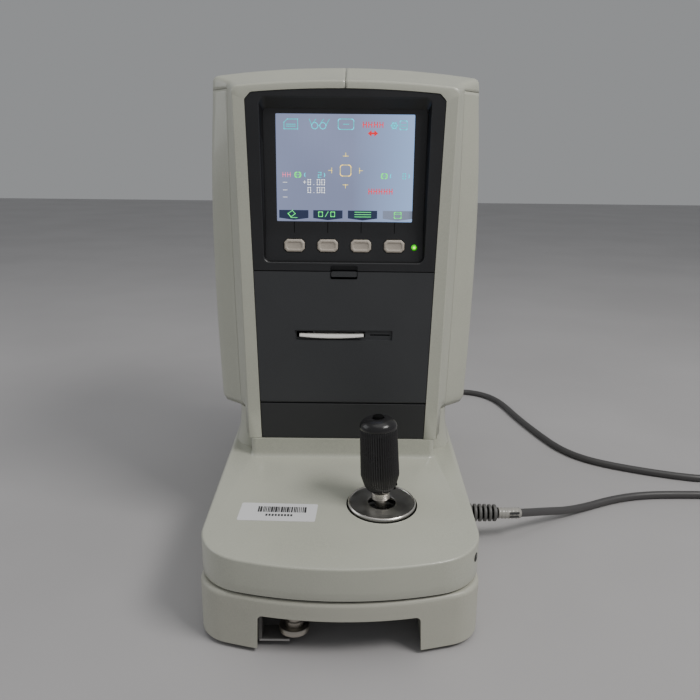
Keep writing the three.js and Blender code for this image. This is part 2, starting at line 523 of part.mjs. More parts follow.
// The lead's way along the table from its gland to the coil: x, distance behind the front, height.
const ROUTE = [[150.4, 175, 28], [159, 175.6, 27.5], [169, 178.8, 26], [181, 185.4, 23], [195, 195, 18.8],
  [211, 205.8, 14], [228, 216.8, 9.2], [246, 228.2, 5.7], [264, 238.5, CORD_Z], [282, 247.5, CORD_Z],
  [300, 255, CORD_Z], [318, 260.5, CORD_Z], [337, 264, CORD_Z], [356, 265.5, CORD_Z], [375, 266, CORD_Z],
  [395, 266, CORD_Z], [415, 263.5, CORD_Z], [433, 256.5, CORD_Z], [448, 250.8, CORD_Z],
  [462, 248.5, CORD_Z], [479.8, 253.3, CORD_Z], [492.7, 266.3, CORD_Z], [497.5, 284, CORD_Z],
  [492.7, 301.8, CORD_Z], [479.8, 314.7, CORD_Z], [462, 319.5, CORD_Z], [446, 316, CORD_Z],
  [430, 311, CORD_Z], [413, 308.5, CORD_Z], [393.5, 312.8, CORD_Z], [376.8, 318.3, CORD_Z],
  [360, 324.7, CORD_Z], [343.4, 331.9, CORD_Z], [329.6, 338.6, CORD_Z], [315.7, 346.4, CORD_Z],
  [302, 356, CORD_Z], [290, 368, CORD_Z], [280, 382.5, CORD_Z], [271.5, 401, CORD_Z], [264, 426, CORD_Z],
  [256.5, 456, CORD_Z], [249.5, 487, CORD_Z], [244, 516, CORD_Z], [239, 546, CORD_Z],
  [231.5, 575, CORD_Z], [219, 598, CORD_Z], [201, 612.5, CORD_Z], [180, 617, CORD_Z],
  [158, 612.5, CORD_Z], [139, 598.5, CORD_Z], [123, 578, CORD_Z], [113.2, 555.5, CORD_Z]];

function cordRun() {
  const curve = new THREE.CatmullRomCurve3(ROUTE.map(([x, f, z]) => new THREE.Vector3(x, back(f), z)),
    false, 'centripetal');
  const section = new THREE.Shape(Array.from({ length: 8 }, (_, k) =>
    new THREE.Vector2(GLAND.cordRadius, 0).rotateAround(new THREE.Vector2(), Math.PI * (2 * k + 1) / 8)));
  return new THREE.ExtrudeGeometry(section, { steps: 64, extrudePath: curve, bevelEnabled: false });
}

place('strain_relief', new THREE.LatheGeometry([[0, 0], [9, 0], [9, 4], [8.6, 5], [7.6, 38], [6, 41.7],
  [0, 41.7]].map(([r, x]) => new THREE.Vector2(r, x)), 20).rotateZ(-Math.PI / 2)
  .translate(BASE.half + GAP, back(GLAND.f), GLAND.z), CORD_GREY);
place('cord_run', cordRun(), CORD_GREY);
place('cord_coil', lathe([[COIL.mean - COIL.half, COIL.low], [COIL.mean + COIL.half, COIL.low],
  [COIL.mean + COIL.half, COIL.high], [COIL.mean - COIL.half, COIL.high],
  [COIL.mean - COIL.half, COIL.low]], 40).translate(COIL.x, back(COIL.f), 0), CORD_GREY);

function mainsPlug() {
  const bodyShape = prism(rectangle(-34, -6, -14, 14, 4), 0.4, 22.4);
  const boot = new THREE.CylinderGeometry(6.5, 5, 24, 16).rotateZ(Math.PI / 2).translate(5, 0, 11.4);
  const blades = [-1, 1].map((side) => new THREE.BoxGeometry(19, 1.5, 6.3).translate(-43, side * 6.35, 11.4));
  return join(bodyShape, boot, ...blades);
}
const plug = place('power_plug', mainsPlug(), BLACK);
plug.position.set(32, back(472.4), 0);

export default assembly;
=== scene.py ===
"""Looks of a table-top auto refractor keratometer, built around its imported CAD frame.

Sizes are in millimetres with x to the right, d the distance behind the base's front and z up from the
table, as in the CAD source; place() turns them into metres in the frame.
"""
import math
import random

import bmesh
import bpy
from mathutils import Euler, Matrix, Vector


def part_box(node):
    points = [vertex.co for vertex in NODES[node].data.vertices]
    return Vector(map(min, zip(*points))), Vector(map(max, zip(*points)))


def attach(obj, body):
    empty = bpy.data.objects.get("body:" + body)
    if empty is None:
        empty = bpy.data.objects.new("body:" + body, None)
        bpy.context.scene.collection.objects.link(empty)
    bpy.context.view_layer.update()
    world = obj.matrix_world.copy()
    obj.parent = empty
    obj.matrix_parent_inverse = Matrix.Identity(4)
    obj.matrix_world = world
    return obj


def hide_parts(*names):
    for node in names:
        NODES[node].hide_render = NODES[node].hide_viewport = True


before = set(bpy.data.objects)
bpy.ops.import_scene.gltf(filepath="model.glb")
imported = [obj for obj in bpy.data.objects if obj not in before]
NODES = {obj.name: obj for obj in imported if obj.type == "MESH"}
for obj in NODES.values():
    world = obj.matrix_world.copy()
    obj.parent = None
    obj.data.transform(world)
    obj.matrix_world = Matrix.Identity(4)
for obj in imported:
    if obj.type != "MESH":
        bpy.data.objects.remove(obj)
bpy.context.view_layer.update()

MM = 0.001
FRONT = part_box("base_housing")[0].y


def place(x, d, z):
    return Vector((x * MM, FRONT + d * MM, z * MM))


# --- driving dimensions
TO_FRONT = Matrix.Rotation(math.pi / 2, 3, "X")   # turns a lathe's axis to the operator
TO_RIGHT = Matrix.Rotation(math.pi / 2, 3, "Y")
SILL = 104.7
SKIRT = 127.0
SKIRT_CORNER = 4.0
FOOT = SKIRT + SKIRT_CORNER
SIDE_SEAM = 414.4
HEAD_SPLIT = 330.0
SEAM = 0.4
SHELL = 2.6
HEAD_CORNER = 5.5
CROWN_BOW = 865.0
RIDGE_HALF, RIDGE_TOP, RIDGE_TAPER = 95, 415, 0.0217
FLANK_HALF, FLANK_MIDDLE = 122.5, 290
BULGE_ABOVE, BULGE_BELOW = 3.25e-4, 1.58e-4
LOCK_X, LOCK_D = -34.0, 22
WINDOW_Z, WINDOW_HOLE = 315.0, 32.0
PANEL_FACE = 172.6
PANEL_FOOT, PANEL_HEAD = 104.7, 412.5
PANEL_FOOT_HALF, PANEL_HEAD_HALF = 75.3, 83.5
PANEL_BOW, PANEL_CHAMFER = 900.0, 5.5
DOOR_FOOT, DOOR_TOP, DOOR_THICKNESS = 141.4, 261, 4.8
SCREEN_FACE = 183.3
SCREEN_Z, SCREEN_HALF, SCREEN_TALL = 348.6, 59.0, 44.75
LCD_HALF, LCD_TALL = 62, 47.5
KEY_Z, KEY_PITCH = 283.0, 29.2
KEY_HALF, KEY_TALL, KEY_CUT, KEY_GAP = 9, 5.5, 2.6, 0.45
KEY_CENTRES = [KEY_PITCH * n for n in (-1.5, -0.5, 0.5, 1.5)]
LAMP_X, LAMP_Z, LAMP_BACK = 61.5, 282, 187.2
BASE = dict(half=107.5, bow=275, corner=30, heel=22, front=0, rear=450)
BASE_FLOOR, BASE_TOP, BASE_RIM, BASE_WALL = 3.0, 46.7, 3.6, 3.5
FOOT_X, FOOT_FRONT, FOOT_REAR = 90, 32, 424
STAGE = dict(half=107.8, bow=275, corner=44, heel=30, front=0, rear=345)
STAGE_SKIRT, STAGE_WALL = 48.6, 3
STAGE_FILLET, STAGE_NOSE_FILLET = 5.0, 1.7
SIDE_PLUG_D, SIDE_PLUG_Z = 34.5, 66
DECK_FRONT, DECK_SLOPE = 75.0, 12 / 170
STICK_X, STICK_D, STICK_PIVOT = 33.6, 88.0, 68.0
STICK_LEAN = math.radians(-2.9)
RING_BASE = 81.5
GLAND_X, GLAND_D, GLAND_Z = 107.8, 175.0, 28.0
CORD_RADIUS = 4.0
CORD_Z = 4.2
CORD_STEPS = 8


# --- mesh building
def link(name, data):
    piece = bpy.data.objects.new(name, data)
    bpy.context.scene.collection.objects.link(piece)
    return piece


def build(name, points, faces, smooth=35):
    """A new object from points in millimetres and faces, smooth but for edges over the angle."""
    mesh = bpy.data.meshes.new(name)
    mesh.from_pydata([place(*p) for p in points], [], faces)
    shade(mesh, smooth)
    return link(name, mesh)


def shade(mesh, degrees):
    mesh.polygons.foreach_set("use_smooth", [True] * len(mesh.polygons))
    mesh.set_sharp_from_angle(angle=math.radians(degrees))


def paint(piece, material):
    piece.data.materials.clear()
    piece.data.materials.append(material)


def finish(piece, body, slot, material, *nodes):
    """The piece rides on a body, stands for CAD nodes and takes its material."""
    paint(piece, material)
    if nodes:
        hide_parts(*nodes)
    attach(piece, body)
    return piece


def round_edges(piece, width, segments=2, angle=40):
    bevel = piece.modifiers.new("round", "BEVEL")
    bevel.width = width * MM
    bevel.segments = segments
    bevel.limit_method = "ANGLE"
    bevel.angle_limit = math.radians(angle)
    bevel.harden_normals = True


def thicken(piece, thickness):
    solid = piece.modifiers.new("wall", "SOLIDIFY")
    solid.thickness = thickness * MM
    solid.offset = -1


def grid_faces(rows, columns, keep=lambda r, c: True, closed=False, flip=False):
    faces = []
    for r in range(rows - 1):
        for c in range(columns if closed else columns - 1):
            if keep(r, c):
                n = (c + 1) % columns
                quad = (r * columns + c, r * columns + n, (r + 1) * columns + n, (r + 1) * columns + c)
                faces.append(quad[::-1] if flip else quad)
    return faces


def flatten(rows):
    return [point for row in rows for point in row]


def sheet(name, rows, smooth=35, **options):
    """An open skin over rows of equal point count."""
    return build(name, flatten(rows), grid_faces(len(rows), len(rows[0]), **options), smooth)


def edit_mesh(mesh, merge=False, outward=True, drop_loose=False):
    """Merges points that coincide, drops points without faces, turns the faces outward."""
    work = bmesh.new()
    work.from_mesh(mesh)
    if merge:
        bmesh.ops.remove_doubles(work, verts=work.verts, dist=1e-7)
    if outward:
        bmesh.ops.recalc_face_normals(work, faces=work.faces)
    if drop_loose:
        bmesh.ops.delete(work, geom=[v for v in work.verts if not v.link_faces], context="VERTS")
    work.to_mesh(mesh)
    work.free()


def loft(name, rings, smooth=35):
    """A closed solid over rings of equal point count."""
    count = len(rings[0])
    last = (len(rings) - 1) * count
    faces = grid_faces(len(rings), count, closed=True)
    faces += [tuple(reversed(range(count))), tuple(range(last, last + count))]
    piece = build(name, flatten(rings), faces, smooth)
    edit_mesh(piece.data)
    return piece


def filleted(corners, steps=10):
    """A closed outline [(u, v, radius), ...] with its corners rounded by arcs of equal step count."""
    outline = []
    for i, (u, v, *rest) in enumerate(corners):
        corner = Vector((u, v))
        if not rest or rest[0] == 0:
            outline.append((u, v))
            continue
        before = (Vector(corners[i - 1][:2]) - corner).normalized()
        after = (Vector(corners[(i + 1) % len(corners)][:2]) - corner).normalized()
        half = before.angle(after) / 2
        centre = corner + (before + after).normalized() * rest[0] / math.sin(half)
        start = corner + before * rest[0] / math.tan(half) - centre
        end = corner + after * rest[0] / math.tan(half) - centre
        sweep = math.atan2(start.x * end.y - start.y * end.x, start.dot(end))
        for k in range(steps + 1):
            outline.append(tuple(centre + Matrix.Rotation(sweep * k / steps, 2) @ start))
    return outline


def box_outline(u0, u1, v0, v1, radius=0.0, steps=8):
    return filleted([(u0, v0, radius), (u1, v0, radius), (u1, v1, radius), (u0, v1, radius)], steps)


def circle(radius, sides, at=(0, 0)):
    return [(at[0] + radius * math.cos(2 * math.pi * k / sides),
             at[1] + radius * math.sin(2 * math.pi * k / sides)) for k in range(sides)]


def prism(name, outline, z0, z1):
    """An outline in plan (x, d), extruded up."""
    return loft(name, [[(x, d, z) for x, d in outline] for z in (z0, z1)])


def slab(name, outline, d0, d1):
    """An outline in front view (x, z), extruded from front to back."""
    return loft(name, [[(x, d, z) for x, z in outline] for d in (d0, d1)])


def slab_across(name, outline, x0, x1):
    """An outline in side view (d, z), extruded along x."""
    return loft(name, [[(x, d, z) for d, z in outline] for x in (x0, x1)])


def block(name, x0, x1, d0, d1, z0, z1):
    return prism(name, box_outline(x0, x1, d0, d1), z0, z1)


def combine(piece, operation, *tools):
    """Joins or cuts a piece by tools with exact booleans, and removes the tools."""
    for tool in tools:
        step = piece.modifiers.new("boolean", "BOOLEAN")
        step.operation = operation
        step.solver = "EXACT"
        step.object = tool
    graph = bpy.context.evaluated_depsgraph_get()
    mesh = bpy.data.meshes.new_from_object(piece.evaluated_get(graph))
    piece.modifiers.clear()
    piece.data = mesh
    for tool in tools:
        bpy.data.objects.remove(tool)
    shade(mesh, 35)
    return piece


def turned(name, profile, sides, centre, tilt=None, smooth=35):
    """A solid of revolution from a closed or axis-to-axis profile [(radius, height), ...] in mm."""
    turn = tilt or Matrix.Identity(3)
    at = Vector(centre)
    rings = [[at + turn @ Vector((*p, height)) for p in circle(radius, sides)] for radius, height in profile]
    piece = sheet(name, rings, smooth, closed=True)
    edit_mesh(piece.data, merge=True)
    shade(piece.data, smooth)
    return piece


# --- materials
def set_socket(tree, socket, value):
    """Links an output to the socket, or sets a plain value or a colour without its alpha."""
    if isinstance(value, bpy.types.NodeSocket):
        tree.links.new(value, socket)
    else:
        socket.default_value = (*value, 1) if socket.type == "RGBA" else value


def wire(tree, node, **inputs):
    for name, value in inputs.items():
        set_socket(tree, node.inputs[name.replace("_", " ")], value)
    return node


def add_node(tree, kind, **inputs):
    return wire(tree, tree.nodes.new("ShaderNode" + kind), **inputs)


def shader(name, color, roughness, **inputs):
    material = bpy.data.materials.new(name)
    material.use_nodes = True
    tree = material.node_tree
    surface = wire(tree, tree.nodes["Principled BSDF"], Base_Color=color, Roughness=roughness, **inputs)
    return material, tree, surface


def coordinates(tree, kind="Object"):
    return add_node(tree, "TexCoord").outputs[kind]


def add_noise(tree, scale, detail=3.0, stretch=(1, 1, 1)):
    """A noise over the object's own coordinates, with a stretch per axis."""
    where = add_node(tree, "Mapping", Vector=coordinates(tree), Scale=stretch).outputs["Vector"]
    return add_node(tree, "TexNoise", Vector=where, Scale=scale, Detail=detail).outputs["Fac"]


def remap(tree, value, low, high, start=0.0, end=1.0):
    return add_node(tree, "MapRange", Value=value, From_Min=low, From_Max=high, To_Min=start,
                    To_Max=end).outputs["Result"]


def blend_color(tree, factor, first, second):
    node = tree.nodes.new("ShaderNodeMix")
    node.data_type = "RGBA"
    node.clamp_factor = True
    wire(tree, node, Factor=factor)
    for socket, color in zip([s for s in node.inputs if s.type == "RGBA"], (first, second)):
        set_socket(tree, socket, color)
    return [s for s in node.outputs if s.type == "RGBA"][0]


def add_bump(tree, surface, *layers):
    """Stacks bumps, each (height output, strength, distance in mm), onto the surface's normal."""
    below = {}
    for height, strength, distance in layers:
        bump = add_node(tree, "Bump", Height=height, Strength=strength, Distance=distance * MM, **below)
        below = {"Normal": bump.outputs["Normal"]}
    wire(tree, surface, **below)


def scaled(color, factor):
    return tuple(min(1.0, c * factor) for c in color)


def moulded(name, color, roughness, grain=0.05, tone=0.05, edge_highlight=0.25, corner_shade=0.3, gloss=0.0):
    """Moulded plastic: spark-eroded grain, faint tone drift, a painted highlight on convex edges, painted
    shade in concave corners.
    """
    material, tree, surface = shader(name, color, roughness, Coat_Weight=gloss, Coat_Roughness=0.1)
    drift = remap(tree, add_noise(tree, 14, 4), 0.35, 0.65)
    base = blend_color(tree, drift, scaled(color, 1 - tone), scaled(color, 1 + tone))
    speckle = remap(tree, add_noise(tree, 900, 1), 0.3, 0.7)
    base = blend_color(tree, speckle, base, scaled(color, 1 + tone * 1.5))
    point = add_node(tree, "NewGeometry").outputs["Pointiness"]
    # painted highlight: convex edges are lightened as if they caught the light
    base = blend_color(tree, remap(tree, point, 0.52, 0.6, 0.0, edge_highlight), base, scaled(color, 1.25))
    # painted shade: concave corners and creases are darkened
    base = blend_color(tree, remap(tree, point, 0.48, 0.42, 0.0, corner_shade), base, scaled(color, 0.55))
    smudge = remap(tree, add_noise(tree, 28, 5), 0.35, 0.7, roughness - 0.06, roughness + 0.07)
    wire(tree, surface, Base_Color=base, Roughness=smudge)
    add_bump(tree, surface, (add_noise(tree, 1500, 2), 0.35, grain), (add_noise(tree, 60, 2), 0.1, 0.25))
    return material


def metal(name, color, roughness, stretch=(1, 1, 60), grain=0.02):
    """Bright metal with fine drawn lines and uneven polish."""
    material, tree, surface = shader(name, color, roughness, Metallic=1.0)
    lines = add_noise(tree, 70, 4, stretch)
    tone = blend_color(tree, lines, scaled(color, 0.8), scaled(color, 1.12))
    polish = remap(tree, lines, 0.3, 0.7, roughness * 0.75, roughness * 1.3)
    wire(tree, surface, Base_Color=tone, Roughness=polish)
    add_bump(tree, surface, (lines, 0.25, grain))
    return material


def turned_metal(name, color, roughness, centre):
    """Metal turned on a lathe: fine rings about the vertical through centre."""
    material, tree, surface = shader(name, color, roughness, Metallic=1.0)
    where = add_node(tree, "Mapping", Vector=coordinates(tree), Location=-centre).outputs["Vector"]
    wave = add_node(tree, "TexWave", Vector=where, Scale=450, Distortion=1.5, Detail=3)
    wave.wave_type = "RINGS"
    wave.rings_direction = "Z"
    rings = wave.outputs["Fac"]
    tone = blend_color(tree, rings, scaled(color, 0.82), scaled(color, 1.1))
    scuff = remap(tree, add_noise(tree, 90, 4), 0.3, 0.7, roughness * 0.8, roughness * 1.3)
    wire(tree, surface, Base_Color=tone, Roughness=scuff)
    add_bump(tree, surface, (rings, 0.25, 0.02))
    return material


def glowing(name, color, strength):
    return shader(name, color, 0.3, Emission_Color=color, Emission_Strength=strength)[0]


def screen_surface():
    """A lit liquid-crystal screen: uneven backlight, columns of picture cells, a few smudges."""
    color = (0.285, 0.33, 0.52)
    material, tree, surface = shader("lcd_lit", (0.02, 0.02, 0.025), 0.22, Emission_Strength=0.95)
    cloud = remap(tree, add_noise(tree, 9, 2), 0.35, 0.65)
    glow = blend_color(tree, cloud, scaled(color, 0.86), scaled(color, 1.1))
    cells = add_node(tree, "TexWave", Vector=coordinates(tree), Scale=300)
    cells.bands_direction = "X"
    columns = remap(tree, cells.outputs["Fac"], 0, 1, 0.0, 0.3)
    glow = blend_color(tree, columns, glow, scaled(color, 0.82))
    across = add_node(tree, "SeparateXYZ", Vector=coordinates(tree, "Generated")).outputs["X"]
    glow = blend_color(tree, remap(tree, across, 0.55, 1.0), glow, (0.40, 0.60, 1.0))
    smudge = remap(tree, add_noise(tree, 60, 5), 0.4, 0.75, 0.16, 0.42)
    wire(tree, surface, Emission_Color=glow, Roughness=smudge)
    return material


def soft_rubber(name, color, roughness):
    material, tree, surface = shader(name, color, roughness)
    dust = remap(tree, add_noise(tree, 35, 6), 0.45, 0.8, 0.0, 0.5)
    wire(tree, surface, Base_Color=blend_color(tree, dust, color, scaled(color, 2.0)))
    add_bump(tree, surface, (add_noise(tree, 1200, 2), 0.4, 0.05))
    return material


def circuit_board():
    material, tree, surface = shader("circuit_board", (0.03, 0.14, 0.07), 0.35)
    tracks = add_node(tree, "TexBrick", Vector=coordinates(tree), Scale=120, Color1=(0.03, 0.15, 0.07),
                      Color2=(0.02, 0.10, 0.05), Mortar=(0.25, 0.22, 0.08))
    wire(tree, surface, Base_Color=tracks.outputs["Color"])
    return material


def paper_surface():
    material, tree, surface = shader("thermal_paper", (0.84, 0.83, 0.79), 0.6)
    fibre = add_noise(tree, 500, 4)
    wire(tree, surface, Base_Color=blend_color(tree, fibre, (0.78, 0.77, 0.73), (0.88, 0.87, 0.84)))
    add_bump(tree, surface, (fibre, 0.3, 0.03))
    return material


def coated_glass():
    material, tree, surface = shader("coated_glass", (0.05, 0.09, 0.10), 0.04, Coat_Weight=0.6,
                                     Coat_Roughness=0.02)
    wire(tree, surface, Roughness=remap(tree, add_noise(tree, 80, 4), 0.4, 0.8, 0.03, 0.12))
    return material


# the moulded plastics carry a painted highlight on their edges and painted shade in their corners, each with
# its own strength
IVORY = moulded("ivory_shell", (0.475, 0.482, 0.408), 0.34, gloss=0.35)
IVORY_BASE = moulded("ivory_base", (0.455, 0.452, 0.385), 0.46, corner_shade=0.5)
CHARCOAL = moulded("charcoal_panel", (0.039, 0.041, 0.0445), 0.5, grain=0.08, tone=0.08, edge_highlight=0.2)
# painted shade: a darker copy of the charcoal panel's plastic for the panel low on the head's front
LOWER_PANEL_SHADED = moulded("lower_panel", (0.0265, 0.0275, 0.029), 0.5, grain=0.08, tone=0.08, edge_highlight=0.2)
# painted shade: a darker copy of the bezel's black for the hood's inner walls
HOOD_SHADE = moulded("hood_painted_shade", (0.0105, 0.0105, 0.0115), 0.4, grain=0.04, edge_highlight=0.15)
BEZEL = moulded("bezel_panel", (0.0190, 0.0195, 0.0215), 0.4, grain=0.06, tone=0.08, edge_highlight=0.3)
BLACK = moulded("black_plastic", (0.014, 0.014, 0.015), 0.4, edge_highlight=0.15)
BRACKET = moulded("bracket_grey", (0.14, 0.135, 0.13), 0.5, grain=0.02)
GRIP = moulded("grip_black", (0.014, 0.0135, 0.0145), 0.3, grain=0.02, edge_highlight=0.3)
CAP = moulded("grip_cap", (0.016, 0.0155, 0.0165), 0.22, grain=0.004, edge_highlight=0.2)
BEIGE = moulded("beige_key", (0.50, 0.45, 0.385), 0.42, grain=0.04, corner_shade=0.5)
STEEL = metal("ground_steel", (0.50, 0.50, 0.49), 0.3)
NICKEL = metal("dull_nickel", (0.50, 0.465, 0.41), 0.4)
CHROME = metal("polished_chrome", (0.80, 0.77, 0.72), 0.26, (1, 1, 8), 0.008)
SHEET = metal("zinc_sheet", (0.52, 0.53, 0.54), 0.45, (1, 1, 1), 0.03)
RING = turned_metal("turned_ring", (0.44, 0.43, 0.41), 0.36, place(STICK_X, STICK_D, RING_BASE))
RUBBER = soft_rubber("black_rubber", (0.022, 0.022, 0.022), 0.8)
PAD = soft_rubber("pad_silicone", (0.26, 0.28, 0.30), 0.6)
PVC = moulded("grey_pvc", (0.062, 0.06, 0.0605), 0.45, grain=0.04, tone=0.07)
RELIEF = moulded("relief_pvc", (0.12, 0.118, 0.115), 0.5, grain=0.04)
LCD = screen_surface()
LAMP = glowing("lamp_lit", (0.06, 0.66, 0.004), 1.2)
LAMP_CORE = glowing("lamp_core", (0.5, 1.0, 0.05), 2.2)
GLASS = coated_glass()
BOARD = circuit_board()
PAPER = paper_surface()
VINYL = moulded("label_vinyl", (0.70, 0.70, 0.71), 0.38, grain=0.01, tone=0.02)
TAG_FILM = moulded("tag_film", (0.34, 0.33, 0.305), 0.25, grain=0.01, tone=0.06)
INK = shader("label_ink", (0.03, 0.03, 0.032), 0.5)[0]
SHADOW = shader("dark_gap", (0.004, 0.004, 0.004), 0.9, Specular_IOR_Level=0.1)[0]


# --- head shells
HEAD_D = (172, 172.8, 174.2, 178, 186, 198, 206, 214, 217.5, 220, 335, 350, 360, 365)
HEAD_FLANK = (0, 0, 0, 0.015, 0.115, 0.31, 0.6, 0.9, 0.985, 1, 1, 1, 1, 1)
HEAD_INSET = (1.6, 0.5, 0, 0, 0, 0, 0, 0, 0, 0, 1, 4, 11, 20)
HEAD_CROWN = (417.6, 419.1, 419.8, 419.7, 421.6, 426, 429.2, 432.6, 433.8, 434, 433, 429, 422, 413)
LOWER, RIM, UPPER = 44, 6, 46
RIM_Z = 400
PANEL_START = 198.0
SEAM_DROP, FRAME_DROP, MOUTH_SEAM = 11, 9, 403.5


def mix(a, b, t):
    return a + (b - a) * t


def steps(start, end, count):
    return [mix(start, end, k / count) for k in range(count + 1)]


def monotone(knots, values, at):
    """A smooth curve through the knots that never overshoots between two of them."""
    i = max(k for k in range(len(knots) - 1) if knots[k] <= at or k == 0)
    slopes = [(values[k + 1] - values[k]) / (knots[k + 1] - knots[k]) for k in range(len(knots) - 1)]

    def tangent(k):
        if k == 0 or k == len(knots) - 1:
            return slopes[min(k, len(slopes) - 1)]
        a, b = slopes[k - 1], slopes[k]
        return 0.0 if a * b <= 0 else 2 * a * b / (a + b)

    span = knots[i + 1] - knots[i]
    t = (at - knots[i]) / span
    return ((2 * t ** 3 - 3 * t ** 2 + 1) * values[i] + (t ** 3 - 2 * t ** 2 + t) * span * tangent(i)
            + (3 * t ** 2 - 2 * t ** 3) * values[i + 1] + (t ** 3 - t ** 2) * span * tangent(i + 1))


def resample(line, count):
    """The polyline as count points evenly spaced along it."""
    reach = [0.0]
    for a, b in zip(line, line[1:]):
        reach.append(reach[-1] + math.dist(a, b))
    out, k = [], 0
    for goal in steps(0, reach[-1], count - 1):
        while k < len(line) - 2 and reach[k + 1] < goal:
            k += 1
        t = (goal - reach[k]) / max(reach[k + 1] - reach[k], 1e-9)
        out.append(tuple(mix(a, b, t) for a, b in zip(line[k], line[k + 1])))
    return out


def split_at(line, height):
    """The polyline below and above a height, both with the crossing point."""
    for k, (a, b) in enumerate(zip(line, line[1:])):
        if a[1] <= height < b[1]:
            cross = (mix(a[0], b[0], (height - a[1]) / (b[1] - a[1])), height)
            return line[:k + 1] + [cross], [cross] + line[k + 1:]
    raise ValueError(height)


def head_half(d, z):
    ridge = RIDGE_HALF - (RIDGE_TOP - z) * RIDGE_TAPER
    wide = FLANK_HALF - (z - FLANK_MIDDLE) ** 2 * (BULGE_ABOVE if z > FLANK_MIDDLE else BULGE_BELOW)
    return mix(ridge, wide, monotone(HEAD_D, HEAD_FLANK, d)) - monotone(HEAD_D, HEAD_INSET, d)


def crown_at(d):
    return monotone(HEAD_D, HEAD_CROWN, d)


def head_line(d):
    """The right half of the head's outline at a depth, from its foot up and over to the middle."""
    def arch(x):
        return crown_at(d) - x * x / (2 * CROWN_BOW)

    foot, edge = head_half(d, FOOT), head_half(d, RIDGE_TOP)
    line = [(foot - SKIRT_CORNER * (1 - math.cos(a)), FOOT - SKIRT_CORNER * math.sin(a))
            for a in (math.radians(72 - 8 * k) for k in range(10))]
    line += [(head_half(d, z), z) for z in range(134, 401, 7)]
    line += filleted([(head_half(d, RIM_Z), RIM_Z), (edge, arch(edge), HEAD_CORNER),
                      (edge * 0.84, arch(edge * 0.84))], 9)[1:-1]
    line += [(edge * 0.84 * k / 14, arch(edge * 0.84 * k / 14)) for k in range(14, 0, -1)]
    return line + [(SEAM / 2, arch(SEAM / 2))]


def panel_half(z):
    return mix(PANEL_FOOT_HALF, PANEL_HEAD_HALF, (z - PANEL_FOOT) / (PANEL_HEAD - PANEL_FOOT))


def panel_line(grow, low=SILL):
    """The right half of the dark panel's outline, from its foot to the middle of its arched top."""
    def arch(x):
        return PANEL_HEAD + grow - x * x / (2 * PANEL_BOW)

    side = panel_half(PANEL_HEAD) + grow - PANEL_CHAMFER
    line = [(panel_half(z) + grow, z) for z in (low, 300, 400, arch(side) - PANEL_CHAMFER)]
    return line + [(side * k / 16, arch(side * k / 16)) for k in range(16, 0, -1)] + [(SEAM / 2, arch(0))]


def upper_row(line, seam):
    middle, top = split_at(split_at(line, RIM_Z)[1], seam)
    return resample(middle, RIM)[1:] + resample(top, UPPER)[1:]


def body_row(d, trim=0.0):
    """A row of the head's wall at a depth: up to the rim, on to the side seam, over the crown."""
    line = head_line(d)
    seam = min(SIDE_SEAM - trim, crown_at(d) - SEAM_DROP)
    return [(x, d, z) for x, z in resample(split_at(line, RIM_Z)[0], LOWER) + upper_row(line, seam)]


def frame_row(d, half, line, seam):
    """A row of the front frame, whose lower columns are stretched down to the sill."""
    levels = [z for _, z in resample(split_at(head_line(190), RIM_Z)[0], LOWER)]
    low = sum(z < FOOT for z in levels)
    levels = [mix(SILL, FOOT, k / low) if k < low else z for k, z in enumerate(levels)]
    return [(x, d, z) for x, z in [(half(z), z) for z in levels] + upper_row(line, seam)]


def shell_piece(name, rows, side, keep=lambda r, c: True):
    """A wall from rows of (x, d, z) points on the right, mirrored for side -1."""
    rows = [[(side * x, d, z) for x, d, z in row] for row in rows]
    piece = sheet(name, rows, 30, keep=keep, flip=side > 0)
    edit_mesh(piece.data, outward=False, drop_loose=True)
    thicken(piece, SHELL)
    finish(piece, "head", "ivory_shell", IVORY, name)


def add_head_shell(name, side):
    """The front frame with the valley beside it, and the crown as far back as the rear cover."""
    rows = [frame_row(d, lambda z: panel_half(z) + SEAM, panel_line(SEAM), MOUTH_SEAM)
            for d in (178.5, 172.6, 172.15)]
    for d in [172.0, 172.15, 172.35, 172.6, 172.9, 173.3, 173.8, 174.4, 175.5] + steps(177, 186, 7):
        rows.append(frame_row(d, lambda z: head_half(d, z), head_line(d), crown_at(d) - FRAME_DROP))
    rows += [body_row(d) for d in steps(186.3, PANEL_START, 8)]
    split = len(rows) - 1
    rows += [body_row(d) for d in steps(PANEL_START + 1, 221, 16) + steps(225, HEAD_SPLIT, 8)]
    shell_piece(name, rows, side, lambda r, c: r < split or c >= LOWER + RIM - 2)


def add_side_panel(name, side):
    depths = steps(PANEL_START + 0.02, 221, 20) + steps(225, HEAD_SPLIT, 8)
    shell_piece(name, [body_row(d, SEAM)[:LOWER + RIM - 1] for d in depths], side)


def add_rear_cover():
    """The patient's side: the shell's rounded end and a flat wall with the window's hole."""
    back = HEAD_D[-1]
    depths = [HEAD_SPLIT + SEAM] + steps(332, 350, 6) + steps(352, 360, 4) + [361.5, 363, 364.2, back]
    rows = [[(-x, y, z) for x, y, z in body_row(d)] + body_row(d)[-2::-1] for d in depths]
    count = len(rows[0])
    foot = rows[-1][0]
    bottom = [(x, back, foot[2]) for x in steps(-foot[0], foot[0], 24)[1:-1]]
    outline = rows[-1] + bottom
    hole = []
    for x, d, z in outline:
        a = math.atan2(z - WINDOW_Z, x)
        hole.append((WINDOW_HOLE * math.cos(a), back, WINDOW_Z + WINDOW_HOLE * math.sin(a)))
    faces = grid_faces(len(rows), count, flip=True)
    total = len(outline)
    first = (len(rows) - 1) * count
    inner = first + total
    faces += [(first + k, inner + k, inner + (k + 1) % total, first + (k + 1) % total) for k in range(total)]
    piece = build("rear_cover", flatten(rows) + bottom + hole, faces, 30)
    thicken(piece, SHELL)
    round_edges(piece, 0.35, 2, 50)
    finish(piece, "head", "ivory_shell", IVORY, "rear_cover")


